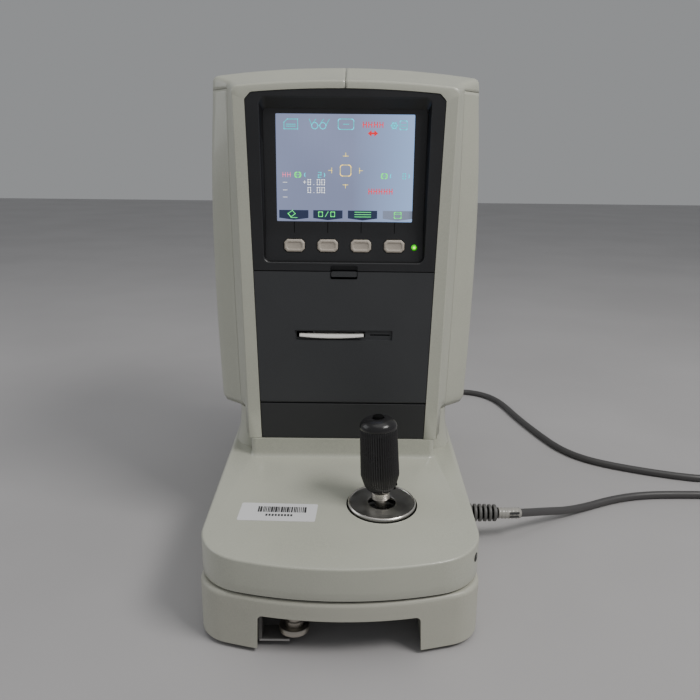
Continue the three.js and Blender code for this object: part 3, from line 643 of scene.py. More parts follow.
# --- stage and base housings
def bowed_plan(shape, inset=0.0):
    """A plan outline: a bowed front, rounded corners, straight sides."""
    side, radius = shape["half"] - inset, shape["bow"] - inset
    reach = side * 0.7
    nose = shape["front"] + inset

    def sag(x):
        return radius - math.sqrt(radius * radius - x * x)

    bow = [(x, nose + sag(x)) for x in steps(-reach, reach, 40)]
    shoulder = nose + sag(reach) + (side - reach) * reach / math.sqrt(radius * radius - reach * reach)
    tail, corner, heel = shape["rear"] - inset, shape["corner"] - inset, shape["heel"] - inset
    return filleted(bow + [(side, shoulder, corner), (side, tail, heel), (-side, tail, heel),
                           (-side, shoulder, corner)], 14)


def deck_height(d):
    return DECK_FRONT + DECK_SLOPE * d


def edge_rings(shape, top, fillet, inset=0.0, drop=0.0, count=8, front=None):
    """Rings of a rounded upper edge under the surface top(d); front is the fillet at the bowed front."""
    rings = []
    outer, inner = bowed_plan(shape, inset), bowed_plan(shape, inset + fillet)
    for a in steps(0, math.pi / 2, count):
        ring = []
        for (x0, d0), (x1, d1) in zip(outer, inner):
            blend = min(1.0, max(0.0, (d0 - 25) / 90))
            own = fillet if front is None else mix(front, fillet, blend * blend * (3 - 2 * blend))
            t = own * (1 - math.cos(a)) / fillet
            x, d = mix(x0, x1, t), mix(d0, d1, t)
            ring.append((x, d, top(d) - drop - own * (1 - math.sin(a))))
        rings.append(ring)
    return rings


def flat_rings(shape, *levels):
    """Flat rings of a plan, one for each (inset, z)."""
    return [[(x, d, z) for x, d in bowed_plan(shape, inset)] for inset, z in levels]


def collar_skin(inset):
    """The neck under the head, flared at its foot."""
    rings = []
    for rise in steps(0, 1, 18):
        half = 100 + 7.5 * (1 - rise) ** 2.2 - inset
        outline = box_outline(-half, half, 186.5 + inset, 338 - inset, 26 - inset, 12)
        rings.append([(x, d, mix(80, 126.5, rise)) for x, d in outline])
    return loft("collar", rings)


def add_stage_cover():
    foot, edge, wall = STAGE_SKIRT, STAGE_FILLET, STAGE_WALL
    skin = flat_rings(STAGE, (1.0, foot), (0.3, foot + 0.2), (0, foot + 0.9), (0, foot + 8))
    cover = loft("stage_cover", skin + edge_rings(STAGE, deck_height, edge, front=STAGE_NOSE_FILLET))
    cavity = flat_rings(STAGE, (wall, foot - 9))
    cavity += edge_rings(STAGE, deck_height, edge - wall, wall, wall, 3)
    hollow = loft("hollow", cavity)
    flare = ((4, 86.2), (1.8, 87.2), (0.6, 88.8), (0, 91), (0, 104.3))
    plinth = loft("plinth", [[(x, d, z) for x, d in box_outline(-85.4 - g, 85.4 + g, 170 - g, 200, 5 + g)]
                             for g, z in flare])
    room = block("room", -82, 82, 173, 205, 60, 101)
    well = combine(collar_skin(wall), "INTERSECT", block("room_cut", -150, 150, 0, 400, 60, 123.5))
    mouth = prism("mouth", box_outline(-73, 73, 190, 326, 8), 40, 150)
    hole = prism("hole", circle(15, 48, (STICK_X, STICK_D)), 60, 100)
    combine(cover, "UNION", collar_skin(0), plinth)
    combine(cover, "DIFFERENCE", hollow, room, well, mouth, hole)
    finish(cover, "stage", "ivory_shell", IVORY, "stage_cover")
    # painted shadow: a thin black band set inside the gap between stage and base darkens the gap
    gap_shadow = sheet("painted_shadow_lip", flat_rings(STAGE, (2.2, 49.5), (2.2, 47), (3.3, 47), (3.3, 49.5)), closed=True)
    finish(gap_shadow, "stage", "rubber", SHADOW)


def add_base_housing():
    skin = flat_rings(BASE, (0.8, BASE_FLOOR), (0, BASE_FLOOR + 0.8), (0, BASE_TOP - 9))
    base = loft("base_housing", skin + edge_rings(BASE, lambda d: BASE_TOP, BASE_RIM))
    hollow = prism("base_hollow", bowed_plan(BASE, BASE_WALL), -20, 43.2)
    walls = []
    for side in (-1, 1):
        walls.append(block("leg_wall", *sorted((side * 62, side * 65.5)), -20, 66, -30, 60))
        walls.append(block("cross_wall", *sorted((side * 60, side * 110)), 62.5, 66, -30, 60))
        for d in (FOOT_FRONT, FOOT_REAR):
            walls.append(prism("foot_seat", circle(16, 40, (side * FOOT_X, d)), -30, 9))
    combine(hollow, "DIFFERENCE", *walls)
    archway = slab("archway", filleted([(-62, -20), (62, -20), (60, 32, 4), (-60, 32, 4)], 8), -20, 20)
    well = block("well", -58, 58, 60, 300, 38, 70)
    gland = slab_across("gland", circle(6.5, 32, (GLAND_D, GLAND_Z)), 90, 130)
    switch = slab_across("switch_hole", box_outline(375, 399, 20, 34, 1.5), -130, -90)
    combine(base, "DIFFERENCE", hollow, archway, well, gland, switch)
    finish(base, "base", "ivory_base", IVORY_BASE, "base_housing")


# --- operator panel
def recess_ring(foot_half, head_half, foot, head, d, radius=6):
    corners = [(-foot_half, foot, radius), (foot_half, foot, radius),
               (head_half, head, radius), (-head_half, head, radius)]
    return [(x, d, z) for x, z in filleted(corners, 8)]


def key_outline(x, grow):
    """An oblong with chamfered corners, like the keys'."""
    half, tall = KEY_HALF + grow, KEY_TALL + grow
    cut = KEY_CUT + grow * 0.5
    corners = [(half - cut, -tall), (half, cut - tall), (half, tall - cut), (half - cut, tall),
               (cut - half, tall), (-half, tall - cut), (-half, cut - tall), (cut - half, -tall)]
    return filleted([(x + u, KEY_Z + v, 0.7) for u, v in corners], 3)


def add_bezel():
    half = panel_line(0, 261.8)
    outline = half[:-1] + [(0, half[-1][1])] + [(-x, z) for x, z in reversed(half[:-1])]
    bezel = slab("display_bezel", outline, PANEL_FACE, 186)
    recess = loft("recess", [recess_ring(70.6, 72.6, 268.4, 406.6, PANEL_FACE - 3),
                             recess_ring(70.6, 72.6, 268.4, 406.6, PANEL_FACE + 0.01),
                             recess_ring(69.9, 71.9, 269.1, 405.9, PANEL_FACE + 0.7),
                             recess_ring(68.6, 69.6, 270.4, 397.5, 181, 4)])
    window = slab("window", box_outline(-SCREEN_HALF, SCREEN_HALF, SCREEN_Z - SCREEN_TALL,
                                        SCREEN_Z + SCREEN_TALL, 0.8), 170, 190)
    strip = slab_across("strip", [(183, 268), (177.0, 268), (177.4, 270.6), (181.02, 297.6), (183, 297.6)],
                        -69.6, 69.6)
    notch = slab("finger_notch", box_outline(-12, 12, 255, 266.6, 2), 160, 177)
    combine(bezel, "DIFFERENCE", recess, window, notch)
    combine(bezel, "UNION", strip)
    holes = [slab("key_hole", key_outline(x, KEY_GAP), 170, 190) for x in KEY_CENTRES]
    lamp = slab("lamp_hole", circle(2.7, 28, (LAMP_X, LAMP_Z)), 170, 190)
    combine(bezel, "DIFFERENCE", lamp, *holes)
    round_edges(bezel, 0.3, 2, 30)
    finish(bezel, "head", "charcoal_panel", BEZEL, "display_bezel")
    # a thin dark sheet over the hood's inner walls paints the shade inside the screen's recess
    painted_hood_shade = sheet("hood_shade_liner", [recess_ring(69.7, 71.7, 269.3, 405.7, PANEL_FACE + 0.9),
                                 recess_ring(68.45, 69.45, 270.6, 397.3, 180.9, 4)], closed=True)
    finish(painted_hood_shade, "head", "charcoal_panel", HOOD_SHADE)


def add_key(number, x):
    """A moulded key with a softly rounded rim and a shallow oblong dimple."""
    shape = ((0, 188), (0, 179), (-0.12, 178.4), (-0.45, 177.9), (-1.0, 177.65), (-1.9, 177.6),
             (-2.2, 177.7), (-2.6, 178.15), (-2.9, 178.25))
    rings = [[(px, d, pz) for px, pz in key_outline(x, grow)] for grow, d in shape]
    key = loft("soft_key_%d" % number, rings, 50)
    finish(key, "key_%d" % number, "beige_key", BEIGE, "soft_key_%d" % number)


def leaf_outline(low, high, grow):
    foot, head = panel_half(low) + grow, panel_half(high) + grow
    return [(-foot, low), (foot, low), (head, high), (-head, high)]


def add_printer_door():
    door = slab("printer_cover", leaf_outline(DOOR_FOOT, DOOR_TOP, -0.1), PANEL_FACE,
                PANEL_FACE + DOOR_THICKNESS)
    radius = DOOR_THICKNESS / 2
    barrel = slab_across("barrel", circle(radius, 24, (PANEL_FACE + radius, DOOR_FOOT)), -75.6, 75.6)
    rings = []
    for grow, d in ((0.5, 165), (0.5, PANEL_FACE + 0.01), (0, PANEL_FACE + 1.8)):
        outline = box_outline(-43.4 - grow, 43.4 + grow, 199.7 - grow, 207.9 + grow, 1, 4)
        rings.append([(x, d, z) for x, z in outline])
    tray = loft("slot_tray", rings)
    slot = slab("slot", box_outline(-42.4, 19.5, 201.2, 206.9, 0.8), 160, 190)
    slit = slab("slit", box_outline(24, 42, 203.2, 204.4, 0.4), 160, 190)
    notch = slab("notch", filleted([(-11.9, 254.5, 1.6), (11.9, 254.5, 1.6), (11.9, 266), (-11.9, 266)], 8),
                 160, 190)
    combine(door, "UNION", barrel)
    combine(door, "DIFFERENCE", tray, slot, slit, notch)
    round_edges(door, 0.4, 3, 30)
    finish(door, "paper_door", "charcoal_panel", CHARCOAL, "printer_cover")


def add_latch():
    outline = [(-11.2, 256.7, 1.2), (11.2, 256.7, 1.2), (11.3, 261.2, 1), (-11.3, 261.2, 1)]
    tab = slab("cover_latch", filleted(outline, 6), 171.6, 176)
    combine(tab, "UNION", block("hook", -8, 8, 175.5, 178, 257, 260.9))
    round_edges(tab, 0.5, 3)
    finish(tab, "door_latch", "black_plastic", CHARCOAL, "cover_latch")


def add_bay_flange():
    """A plate round the printer bay's mouth that closes the gap to the shells."""
    plate = slab("bay_flange", leaf_outline(136.0, 256.0, 2.0), 179.2, 180.4)
    combine(plate, "DIFFERENCE", slab("bay_mouth", box_outline(-57, 57, 171, 255.2, 1), 170, 190))
    finish(plate, "head", "black_plastic", BLACK)


def add_lower_panel():
    panel = slab("lower_panel", leaf_outline(PANEL_FOOT, 138.5, 0), PANEL_FACE, PANEL_FACE + 4)
    round_edges(panel, 0.5, 3)
    # the lower panel takes the darker, shaded copy of the charcoal plastic
    finish(panel, "head", "charcoal_panel", LOWER_PANEL_SHADED, "lower_panel")


def add_paper():
    """The printed strip's torn end, curling out of the slot."""
    rows = []
    for t in steps(0, 1, 14):
        d = mix(177, 171.6, math.sin(t * math.pi / 2))
        z = 204.6 - 2.6 * t ** 2.5
        rows.append([(x, d, z + t * (1.5 * ((x + 11) / 29) ** 2 - 0.9)) for x in steps(-39.6, 18, 60)])
    slip = sheet("paper_slip", rows, 60)
    thicken(slip, 0.2)
    finish(slip, "paper_door", "paper", PAPER, "paper_slip")


# --- screen, its picture and the lamp
PICTURE_D = SCREEN_FACE - 0.06
SEGMENTS = {"0": "abcdef", "2": "abged", "8": "abcdefg", "+": "gv"}
LIT = {name: glowing(name + "_lit", color, strength) for name, color, strength in (
    ("cyan", (0.04, 0.60, 0.68), 0.9), ("red", (0.78, 0.02, 0.03), 0.8),
    ("yellow", (0.80, 0.68, 0.20), 0.95), ("white", (0.78, 0.80, 0.82), 1.0),
    ("green", (0.10, 0.75, 0.20), 0.85), ("pink", (0.80, 0.25, 0.42), 0.8),
    ("navy", (0.018, 0.026, 0.06), 0.9), ("haze", (0.17, 0.20, 0.28), 0.95))}


def quads(name, points):
    """Separate flat faces of four points each."""
    return build(name, points, [tuple(range(k, k + 4)) for k in range(0, len(points), 4)])


def picture(color, width, strokes):
    """Flat strokes drawn over the screen: polylines of (x, z), each widened to the same width."""
    points = []
    for line in strokes:
        for a, b in zip(line, line[1:]):
            along = (Vector(b) - Vector(a)).normalized() * width / 2
            side = Vector((-along.y, along.x))
            start, end = Vector(a) - along, Vector(b) + along
            points += [(p.x, PICTURE_D, p.y) for p in (start - side, end - side, end + side, start + side)]
    finish(quads("picture_" + color, points), "head", "lcd", LIT[color])


def patch(name, outline, d, color):
    piece = build(name, [(x, d, z) for x, z in outline], [tuple(range(len(outline)))])
    finish(piece, "head", "lcd", LIT[color])


def loop(outline):
    return outline + [outline[0]]


def arc(x, z, radius, start=0, end=360, sides=14):
    return [(x + radius * math.cos(math.radians(a)), z + radius * math.sin(math.radians(a)))
            for a in steps(start, end, sides)]


def rounded(x, z, half, tall, radius=1.0):
    return loop(box_outline(x - half, x + half, z - tall, z + tall, radius, 4))


def numeral(text, right, z, width=2.3, tall=4.3, pitch=4.0):
    """Seven-segment figures, the last one ending at right, with z at their middle."""
    half, w = tall / 2, width / 2
    bars = {"a": [(-w, half), (w, half)], "b": [(w, half), (w, 0)], "c": [(w, 0), (w, -half)],
            "d": [(-w, -half), (w, -half)], "e": [(-w, 0), (-w, -half)], "f": [(-w, half), (-w, 0)],
            "g": [(-w, 0), (w, 0)], "v": [(0, -w), (0, w)]}
    strokes, x = [], right - w
    for sign in reversed(text):
        if sign == ".":
            strokes.append([(x - 0.2, z - half), (x + 0.2, z - half)])
        else:
            strokes += [[(x + u, z + v) for u, v in bars[s]] for s in SEGMENTS[sign]]
        x -= pitch
    return strokes


def brackets(left, right, z, tall=2.4):
    """A pair of round brackets."""
    return [arc(left + 2.2, z, tall, 140, 220, 6), arc(right - 2.2, z, tall, -40, 40, 6)]


def dashes(left, right, z, count, tall=4.2):
    """Blank blocks standing where a word would be: one barred box for each letter."""
    strokes, pitch = [], (right - left) / count
    for k in range(count):
        x = left + pitch * (k + 0.5)
        half = pitch * 0.28
        strokes += [[(x - half, z - tall / 2), (x - half, z + tall / 2)],
                    [(x - half, z), (x + half, z)], [(x + half, z + tall / 2), (x + half, z - tall / 2)]]
    return strokes


def eye_mark(x, z):
    """A green mark for one eye: two curved lids beside a barred box."""
    return [arc(x + 1.6, z, 4.2, 150, 210, 6), arc(x - 1.6, z, 4.2, -30, 30, 6),
            rounded(x, z, 1.7, 2.1, 0.6), [(x - 1.2, z), (x + 1.2, z)]]


def draw_top_row():
    """The cyan icons along the top, and the two figures in brackets."""
    top = 385.2
    page = loop([(-52, 381), (-40.4, 381), (-40.4, 389), (-49, 389), (-52, 386.4)])
    glasses = [arc(-25.9, 383.8, 2.6), arc(-19.0, 383.8, 2.6), [(-23.3, 383.8), (-21.6, 383.8)],
               [(-28.5, 384), (-30.4, 389)], [(-16.4, 384), (-13.6, 389)], [(-27, 386.5), (-25, 389)],
               [(-20.5, 386.5), (-18.5, 389)]]
    card = [rounded(0.6, top, 6.6, 4.2, 1.6), [(-1.6, top), (3.0, top)]]
    sun = [arc(41.6, top - 0.8, 2.3)]
    for a in (0, 1.05, 2.1):
        across, up = 3.4 * math.cos(a), 3.4 * math.sin(a)
        sun.append([(41.6 - across, top - 0.8 - up), (41.6 + across, top - 0.8 + up)])
    stack = [rounded(49.4, top - 0.4, 3.0, 3.6, 0.8)] + [[(47.6, z), (51.2, z)] for z in (top, top - 2)]
    lines = [[(-50, 383.2 + 1.6 * k), (-42.4, 383.2 + 1.6 * k)] for k in range(2)]
    second = brackets(-34.6, -17.6, 343.3) + numeral("2", -20.6, 343.3)
    third = brackets(39.4, 55.4, 342.9) + numeral("0", 52.4, 342.9)
    picture("cyan", 0.66, [page] + glasses + card + sun + stack + lines + second + third)


def draw_red():
    picture("red", 0.7, dashes(14.2, 33.0, 385, 4) + dashes(20, 42, 329.8, 5))
    head = [(19.2, 378), (22.4, 380.6), (22.4, 378.8), (24.8, 378.8), (24.8, 380.6), (28.0, 378)]
    patch("picture_arrow", head + [(x, 756 - z) for x, z in head[-2:0:-1]], PICTURE_D, "red")


def draw_target():
    """The aiming mark: a rounded box and a bracket on each of its four sides."""
    middle = (0.6, 347.2)
    marks = [rounded(*middle, 4.6, 4.6, 2.0)]
    for turn in range(4):
        spin = Matrix.Rotation(math.pi / 2 * turn, 2)
        for line in ([(12, -2.1), (12, 2.1)], [(12, 0), (14.6, 0)]):
            marks.append([tuple(spin @ Vector(p) + Vector(middle)) for p in line])
    picture("yellow", 0.62, marks)


def draw_figures():
    letters = [[(-53.4, z), (-50.0, z)] for z in (336.9, 330.4, 324.4)]
    picture("white", 0.46, letters + numeral("+8.00", -17.6, 337.2) + numeral("0.00", -17.6, 330.5))


def draw_green():
    """The two eye marks, and the icons on the tabs along the bottom."""
    tool = [loop([(-49.4, 310.4), (-45.6, 313.0), (-43.2, 310.2), (-47.0, 307.4)]),
            [(-49.4, 310.4), (-47, 307.4)], [(-46.8, 306.9), (-41.6, 306.9)]]
    pair = [rounded(-21.0, 310, 1.7, 2.0, 0.5), [(-16.9, 307.9), (-14.4, 312.1)],
            rounded(-10.4, 310, 1.7, 2.0, 0.5)]
    menu = [[(9.0, z), (22.8, z)] for z in (308.0, 310.0, 312.0)]
    roll = [rounded(46.5, 309.6, 3.0, 2.6, 0.7), [(43.7, 310.6), (49.3, 310.6)]]
    picture("green", 0.62, eye_mark(-40.6, 343.3) + eye_mark(34.0, 342.8) + tool + pair + menu + roll)


def draw_tabs():
    for number, left in enumerate((-57.2, -27.4, 2.9, 33.4)):
        right = left + 25.6
        tab = [(left, 313.4), (left, 306.6), (left + 12.8, 304.9), (right, 306.6), (right, 313.4)]
        color = "haze" if number == 3 else "navy"
        patch("picture_tab_%d" % (number + 1), tab[::-1], SCREEN_FACE - 0.03, color)


def add_screen():
    lcd = slab("lcd_screen", box_outline(-LCD_HALF, LCD_HALF, SCREEN_Z - LCD_TALL, SCREEN_Z + LCD_TALL),
               SCREEN_FACE, 190)
    finish(lcd, "head", "lcd", LCD, "lcd_screen")
    draw_top_row()
    draw_red()
    draw_target()
    draw_figures()
    draw_green()
    picture("pink", 0.6, dashes(-54.4, -46.2, 343.3, 2, 3.6))
    draw_tabs()


def add_key_leads():
    """The thin lines that lead from the keys to the screen."""
    rise = [(180.93, 298.2), (180.2, 290.4), (181.4, 290.4), (181.6, 298.2)]
    leads = []
    for x in KEY_CENTRES:
        leads.append(block("lead", x - 0.28, x + 0.28, 180.9, 181.6, 298, 303.6))
        leads.append(slab_across("lead", rise, x - 0.28, x + 0.28))
    finish(combine(leads[0], "UNION", *leads[1:]), "head", "charcoal_panel", SHADOW)


def add_lamp():
    at = (LAMP_X, LAMP_BACK, LAMP_Z)
    lens = [(0, 0), (2.3, 0), (2.3, 5.8), (2.1, 6.8), (1.5, 7.6), (0.8, 7.9), (0, 8)]
    finish(turned("power_lamp", lens, 28, at, TO_FRONT), "head", "lamp", LAMP, "power_lamp")
    core = [(0, 7.8), (1.0, 7.85), (0.9, 8.1), (0, 8.15)]
    finish(turned("lamp_core", core, 20, at, TO_FRONT), "head", "lamp", LAMP_CORE)


# --- joystick
STICK_TURN = Matrix.Rotation(STICK_LEAN, 3, "Y")
PIVOT = (STICK_X, STICK_D, STICK_PIVOT)
DECK_TURN = Matrix.Rotation(math.atan(DECK_SLOPE), 3, "X")
DECK_AT = (STICK_X, STICK_D, deck_height(STICK_D))
GRIP_SIDES, FLUTES, FLUTE_DEPTH = 288, 48, 0.05


def add_grip():
    """The grip: fine flutes down its barrel, plain at its taper and under its cap."""
    profile = [(6.9, 26.3), (8.6, 26.3), (9.4, 26.6), (11.6, 28.5), (12.9, 30.6), (13.4, 31.8), (14.6, 35.8),
               (15.6, 39.2), (15.9, 40.4)]
    profile += [(mix(15.9, 15.1, t), mix(40.4, 79.8, t)) for t in steps(0, 1, 12)[1:]]
    profile += [(14.3, 80.4), (14.3, 80.9), (4.7, 80.9), (4.7, 60), (6.9, 60), (6.9, 26.3)]
    piece = turned("joystick_grip", profile, GRIP_SIDES, PIVOT, STICK_TURN, 60)
    inverse = STICK_TURN.transposed()
    pivot = place(*PIVOT)
    for vert in piece.data.vertices:
        local = inverse @ (vert.co - pivot)
        if 0.0312 < local.z < 0.08 and math.hypot(local.x, local.y) > 0.012:
            pull = 0.5 + 0.5 * math.cos(FLUTES * math.atan2(local.y, local.x))
            local.x *= 1 - FLUTE_DEPTH * pull
            local.y *= 1 - FLUTE_DEPTH * pull
            vert.co = pivot + STICK_TURN @ local
    shade(piece.data, 60)
    finish(piece, "grip", "grip_black", GRIP, "joystick_grip")


def stick_part(name, profile, sides, body, slot, material, *nodes, smooth=35):
    finish(turned(name, profile, sides, PIVOT, STICK_TURN, smooth), body, slot, material, *nodes)


def deck_part(name, profile, slot, material, *nodes):
    """A turned piece that lies in the deck round the stick."""
    finish(turned(name, profile, 128, DECK_AT, DECK_TURN), "stage", slot, material, *nodes)


def add_joystick():
    add_grip()
    cap = [(4.7, 80.9), (14.9, 80.9), (15.2, 81.3), (15.1, 83.0), (14.5, 84.8), (13.2, 86.5), (11.2, 87.9),
           (8.4, 88.9), (6.0, 89.3), (5.1, 89.3), (4.8, 89.0), (4.7, 88.4), (4.7, 80.9)]
    stick_part("grip_cap", cap, 96, "grip", "grip_black", CAP, smooth=50)
    shaft = [(0, -5), (8, -5), (9.5, 0), (8, 4), (4.8, 7), (4.8, 18.8), (7.2, 19.0), (7.6, 19.4), (7.6, 24.8),
             (7.2, 25.2), (6.6, 25.3), (6.6, 55), (0, 55)]
    stick_part("joystick_shaft", shaft, 72, "stick", "chrome", CHROME, "joystick_shaft")
    button = [(0, 82), (4.2, 82), (4.2, 90.2), (4.0, 90.8), (3.3, 91.3), (1.6, 91.5), (0, 91.6)]
    stick_part("joystick_button", button, 48, "trigger", "black_plastic", SHADOW, "joystick_button")
    side = STICK_TURN @ TO_RIGHT @ Matrix.Rotation(math.radians(-8), 3, "Y")
    screw = [(0, -1), (1.7, -1), (1.7, 1.2), (1.5, 1.5), (0.8, 1.5), (0.7, 0.6), (0, 0.6)]
    for height, radius in ((32.6, 12.2), (29.4, 10.8)):
        seat = Vector(PIVOT) + STICK_TURN @ Vector((radius, -3.5, height))
        finish(turned("set_screw", screw, 20, seat, side), "grip", "black_plastic", SHADOW)
    ring = [(11.5, 0.3), (28, 0.3), (28, 1.7), (27.7, 2.3), (27.1, 2.7), (26.5, 2.6), (26.1, 2.1),
            (12.4, 2.1), (11.7, 1.8), (11.5, 1.5), (11.5, 0.3)]
    deck_part("joystick_ring", ring, "brushed_ring", RING, "joystick_ring")
    rim = [(26.2, 2.15), (27.9, 1.4), (28.05, 1.8), (27.7, 2.5), (27.1, 2.85), (26.5, 2.7), (26.2, 2.15)]
    deck_part("ring_rim", rim, "chrome", CHROME)
    # painted shadow: a dark annulus on the deck round the ring stands for the shadow in the gap
    ring_shadow = [(27.9, -0.4), (29.3, -0.4), (29.3, 0.12), (27.9, 0.12), (27.9, -0.4)]
    deck_part("ring_painted_shadow", ring_shadow, "black_plastic", SHADOW)


# --- small features on the stage
def on_deck(x, d, lift):
    return (x, d, deck_height(d) + lift)


def add_label():
    """An asset label: a white sticker with bars and blank lines."""
    corners = [(-82.6, 61.6, 1.5), (-20.4, 60.2, 1.5), (-18.9, 85.7, 1.5), (-81.4, 87.4, 1.5)]
    outline = filleted(corners, 5)
    sticker = loft("asset_label", [[on_deck(x, d, lift) for x, d in outline] for lift in (0.02, 0.28)])
    finish(sticker, "stage", "paper", VINYL)
    random.seed(7)
    bars, x = [], -67.4
    while x < -29.5:
        width = random.choice((0.7, 0.9, 1.3, 1.7))
        bars.append((x, x + width, 73.3, 81.5))
        x += width + random.choice((0.4, 0.5, 0.8))
    bars += [(-60.5 + 2.5 * k, -58.9 + 2.5 * k, 67.6, 70.6) for k in range(9)]
    tilt = 0.02
    points = []
    for x0, x1, d0, d1 in bars:
        points += [on_deck(x, d - tilt * (x + 50), 0.33) for x, d in ((x0, d0), (x1, d0), (x1, d1), (x0, d1))]
    finish(quads("label_bars", points), "stage", "black_plastic", INK)


def add_side_screw():
    """A small round plug in the stage's front right corner."""
    outline = [p for p in bowed_plan(STAGE) if p[0] > 0]
    x, d = min(outline, key=lambda p: abs(p[1] - SIDE_PLUG_D))
    ahead = min(outline, key=lambda p: abs(p[1] - 41))
    outward = Vector((ahead[1] - d, x - ahead[0], 0)).normalized()
    profile = [(0, -2), (3.6, -2), (3.6, 0.1), (3.3, 0.35), (2.9, 0.1), (0, 0.1)]
    plug = turned("side_plug", profile, 32, (x, d, SIDE_PLUG_Z), outward.to_track_quat("Z", "Y").to_matrix())
    finish(plug, "stage", "black_plastic", BLACK)


# --- base details
def add_base_details():
    profile = [(0, 9.2), (10.0, 9.5), (11.9, 11.1), (11.9, 14), (11.2, 15), (9.0, 15.2), (8.6, 14.4),
               (7.0, 14.4), (7.0, 19), (6.4, 19.6), (6.0, 19.6), (6.0, 42.4), (0, 42.4)]
    knob = turned("lock_knob", profile, 96, (LOCK_X, LOCK_D, 0))
    finish(knob, "lock_screw", "chrome", NICKEL, "lock_knob")
    seats = [(side * FOOT_X, d, 0) for d in (FOOT_FRONT, FOOT_REAR) for side in (-1, 1)]
    for number, seat in enumerate(seats):
        name = "rubber_foot_%d" % (number + 1)
        foot = turned(name, [(0, 0), (10.2, 0), (11, 0.8), (11, 2.7), (0, 2.7)], 48, seat)
        finish(foot, "base", "rubber", RUBBER, name)


# --- mains lead
ROUTE = [(150.4, 175, 28), (159, 175.6, 27.5), (169, 178.8, 26), (181, 185.4, 23), (195, 195, 18.8)]
ROUTE += [(211, 205.8, 14), (228, 216.8, 9.2), (246, 228.2, 5.7)]
ROUTE += [(x, d, CORD_Z) for x, d in (
    (264, 238.5), (282, 247.5), (300, 255), (318, 260.5), (337, 264), (356, 265.5), (375, 266),
    (395, 266), (415, 263.5), (433, 256.5), (448, 250.8), (462, 248.5), (479.8, 253.3), (492.7, 266.3),
    (497.5, 284), (492.7, 301.8), (479.8, 314.7), (462, 319.5), (446, 316), (430, 311), (413, 308.5),
    (393.5, 312.8), (376.8, 318.3), (360, 324.7), (343.4, 331.9), (329.6, 338.6), (315.7, 346.4),
    (302, 356), (290, 368), (280, 382.5), (271.5, 401), (264, 426), (256.5, 456), (249.5, 487),
    (244, 516), (239, 546), (231.5, 575), (219, 598), (201, 612.5), (180, 617), (158, 612.5),
    (139, 598.5), (123, 578), (113.2, 555.5), (110, 532))]
COIL_X, COIL_D, COIL_OUTER, COIL_INNER, COIL_TURNS = 62, 532, 48, 39.6, 2
PLUG_X, PLUG_D, PLUG_Z = 49.0, 472.4, 11.4


def centripetal(points, per_span):
    """A smooth line through the points, with a spacing that avoids overshoot at uneven gaps."""
    line = [Vector(p) for p in points]
    line = [line[0] * 2 - line[1]] + line + [line[-1] * 2 - line[-2]]
    out = []
    for p0, p1, p2, p3 in zip(line, line[1:], line[2:], line[3:]):
        t1 = (p1 - p0).length ** 0.5
        t2 = t1 + (p2 - p1).length ** 0.5
        t3 = t2 + (p3 - p2).length ** 0.5
        for t in steps(t1, t2, per_span)[:-1]:
            a1 = p0.lerp(p1, t / t1)
            a2 = p1.lerp(p2, (t - t1) / (t2 - t1))
            a3 = p2.lerp(p3, (t - t2) / (t3 - t2))
            b1 = a1.lerp(a2, t / t2)
            b2 = a2.lerp(a3, (t - t1) / (t3 - t1))
            out.append(b1.lerp(b2, (t - t1) / (t2 - t1)))
    return out + [line[-2]]


def coil_line():
    """Two flat turns, the second inside the first, then the end climbs over them to the plug."""
    out = []
    for a in range(5, COIL_TURNS * 360 + 1, 5):
        settle = min(1.0, max(0.0, (a - 300) / 110))
        radius = mix(COIL_OUTER, COIL_INNER, settle * settle * (3 - 2 * settle))
        angle = -math.radians(a)
        out.append(Vector((COIL_X + radius * math.cos(angle), COIL_D + radius * math.sin(angle), CORD_Z)))
    heights = (CORD_Z, 8.6, 12.5, 12.6, 12.6, 12.4, PLUG_Z)
    for t in steps(0, 90, 30)[1:]:
        x = mix(PLUG_X, COIL_X + COIL_INNER, math.cos(math.radians(t)))
        d = mix(COIL_D, PLUG_D, math.sin(math.radians(t)))
        out.append(Vector((x, d, monotone((0, 14, 28, 45, 60, 76, 90), heights, t))))
    return out


def add_cord():
    line = centripetal(ROUTE, CORD_STEPS) + coil_line()
    curve = bpy.data.curves.new("mains_lead", "CURVE")
    curve.dimensions = "3D"
    curve.bevel_depth = CORD_RADIUS * MM
    curve.bevel_resolution = 6
    spline = curve.splines.new("POLY")
    spline.points.add(len(line) - 1)
    for point, p in zip(spline.points, line):
        point.co = (*place(*p), 1)
    spline.use_smooth = True
    lead = finish(link("mains_lead", curve), "base", "cord_grey", PVC, "cord_run", "cord_coil")
    relief = add_strain_relief()
    tag = add_tag()
    plug = add_plug()


def add_strain_relief():
    """A ribbed boot that keeps the lead from kinking at the wall."""
    profile = [(0, 0), (9.2, 0), (9.4, 0.6), (9.4, 3.4), (9.0, 4.0), (7.2, 4.2)]
    h, last = 5.0, 41.7
    while h < last - 3:
        r = mix(9.0, 8.0, h / last)
        profile += [(5.0, h), (r - 0.3, h + 0.1), (r, h + 0.6), (r, h + 2.2), (r - 0.3, h + 2.7)]
        profile.append((5.0, h + 2.8))
        h += 4.7
    profile += [(6.2, last - 2.2), (6.4, last - 1.8), (6.2, last - 0.3), (5.6, last), (0, last)]
    at = (GLAND_X, GLAND_D, GLAND_Z)
    relief = turned("strain_relief", profile, 40, at, TO_RIGHT)
    finish(relief, "base", "cord_grey", RELIEF, "strain_relief")
    # painted shade: a near-black core shows between the boot's ribs and darkens the grooves
    inside = [(0, 3), (5.9, 3.2), (5.7, last - 2.6), (0, last - 2.5)]
    core = finish(turned("relief_groove_shade", inside, 32, at, TO_RIGHT), "base", "black_plastic", SHADOW)
    return relief, core


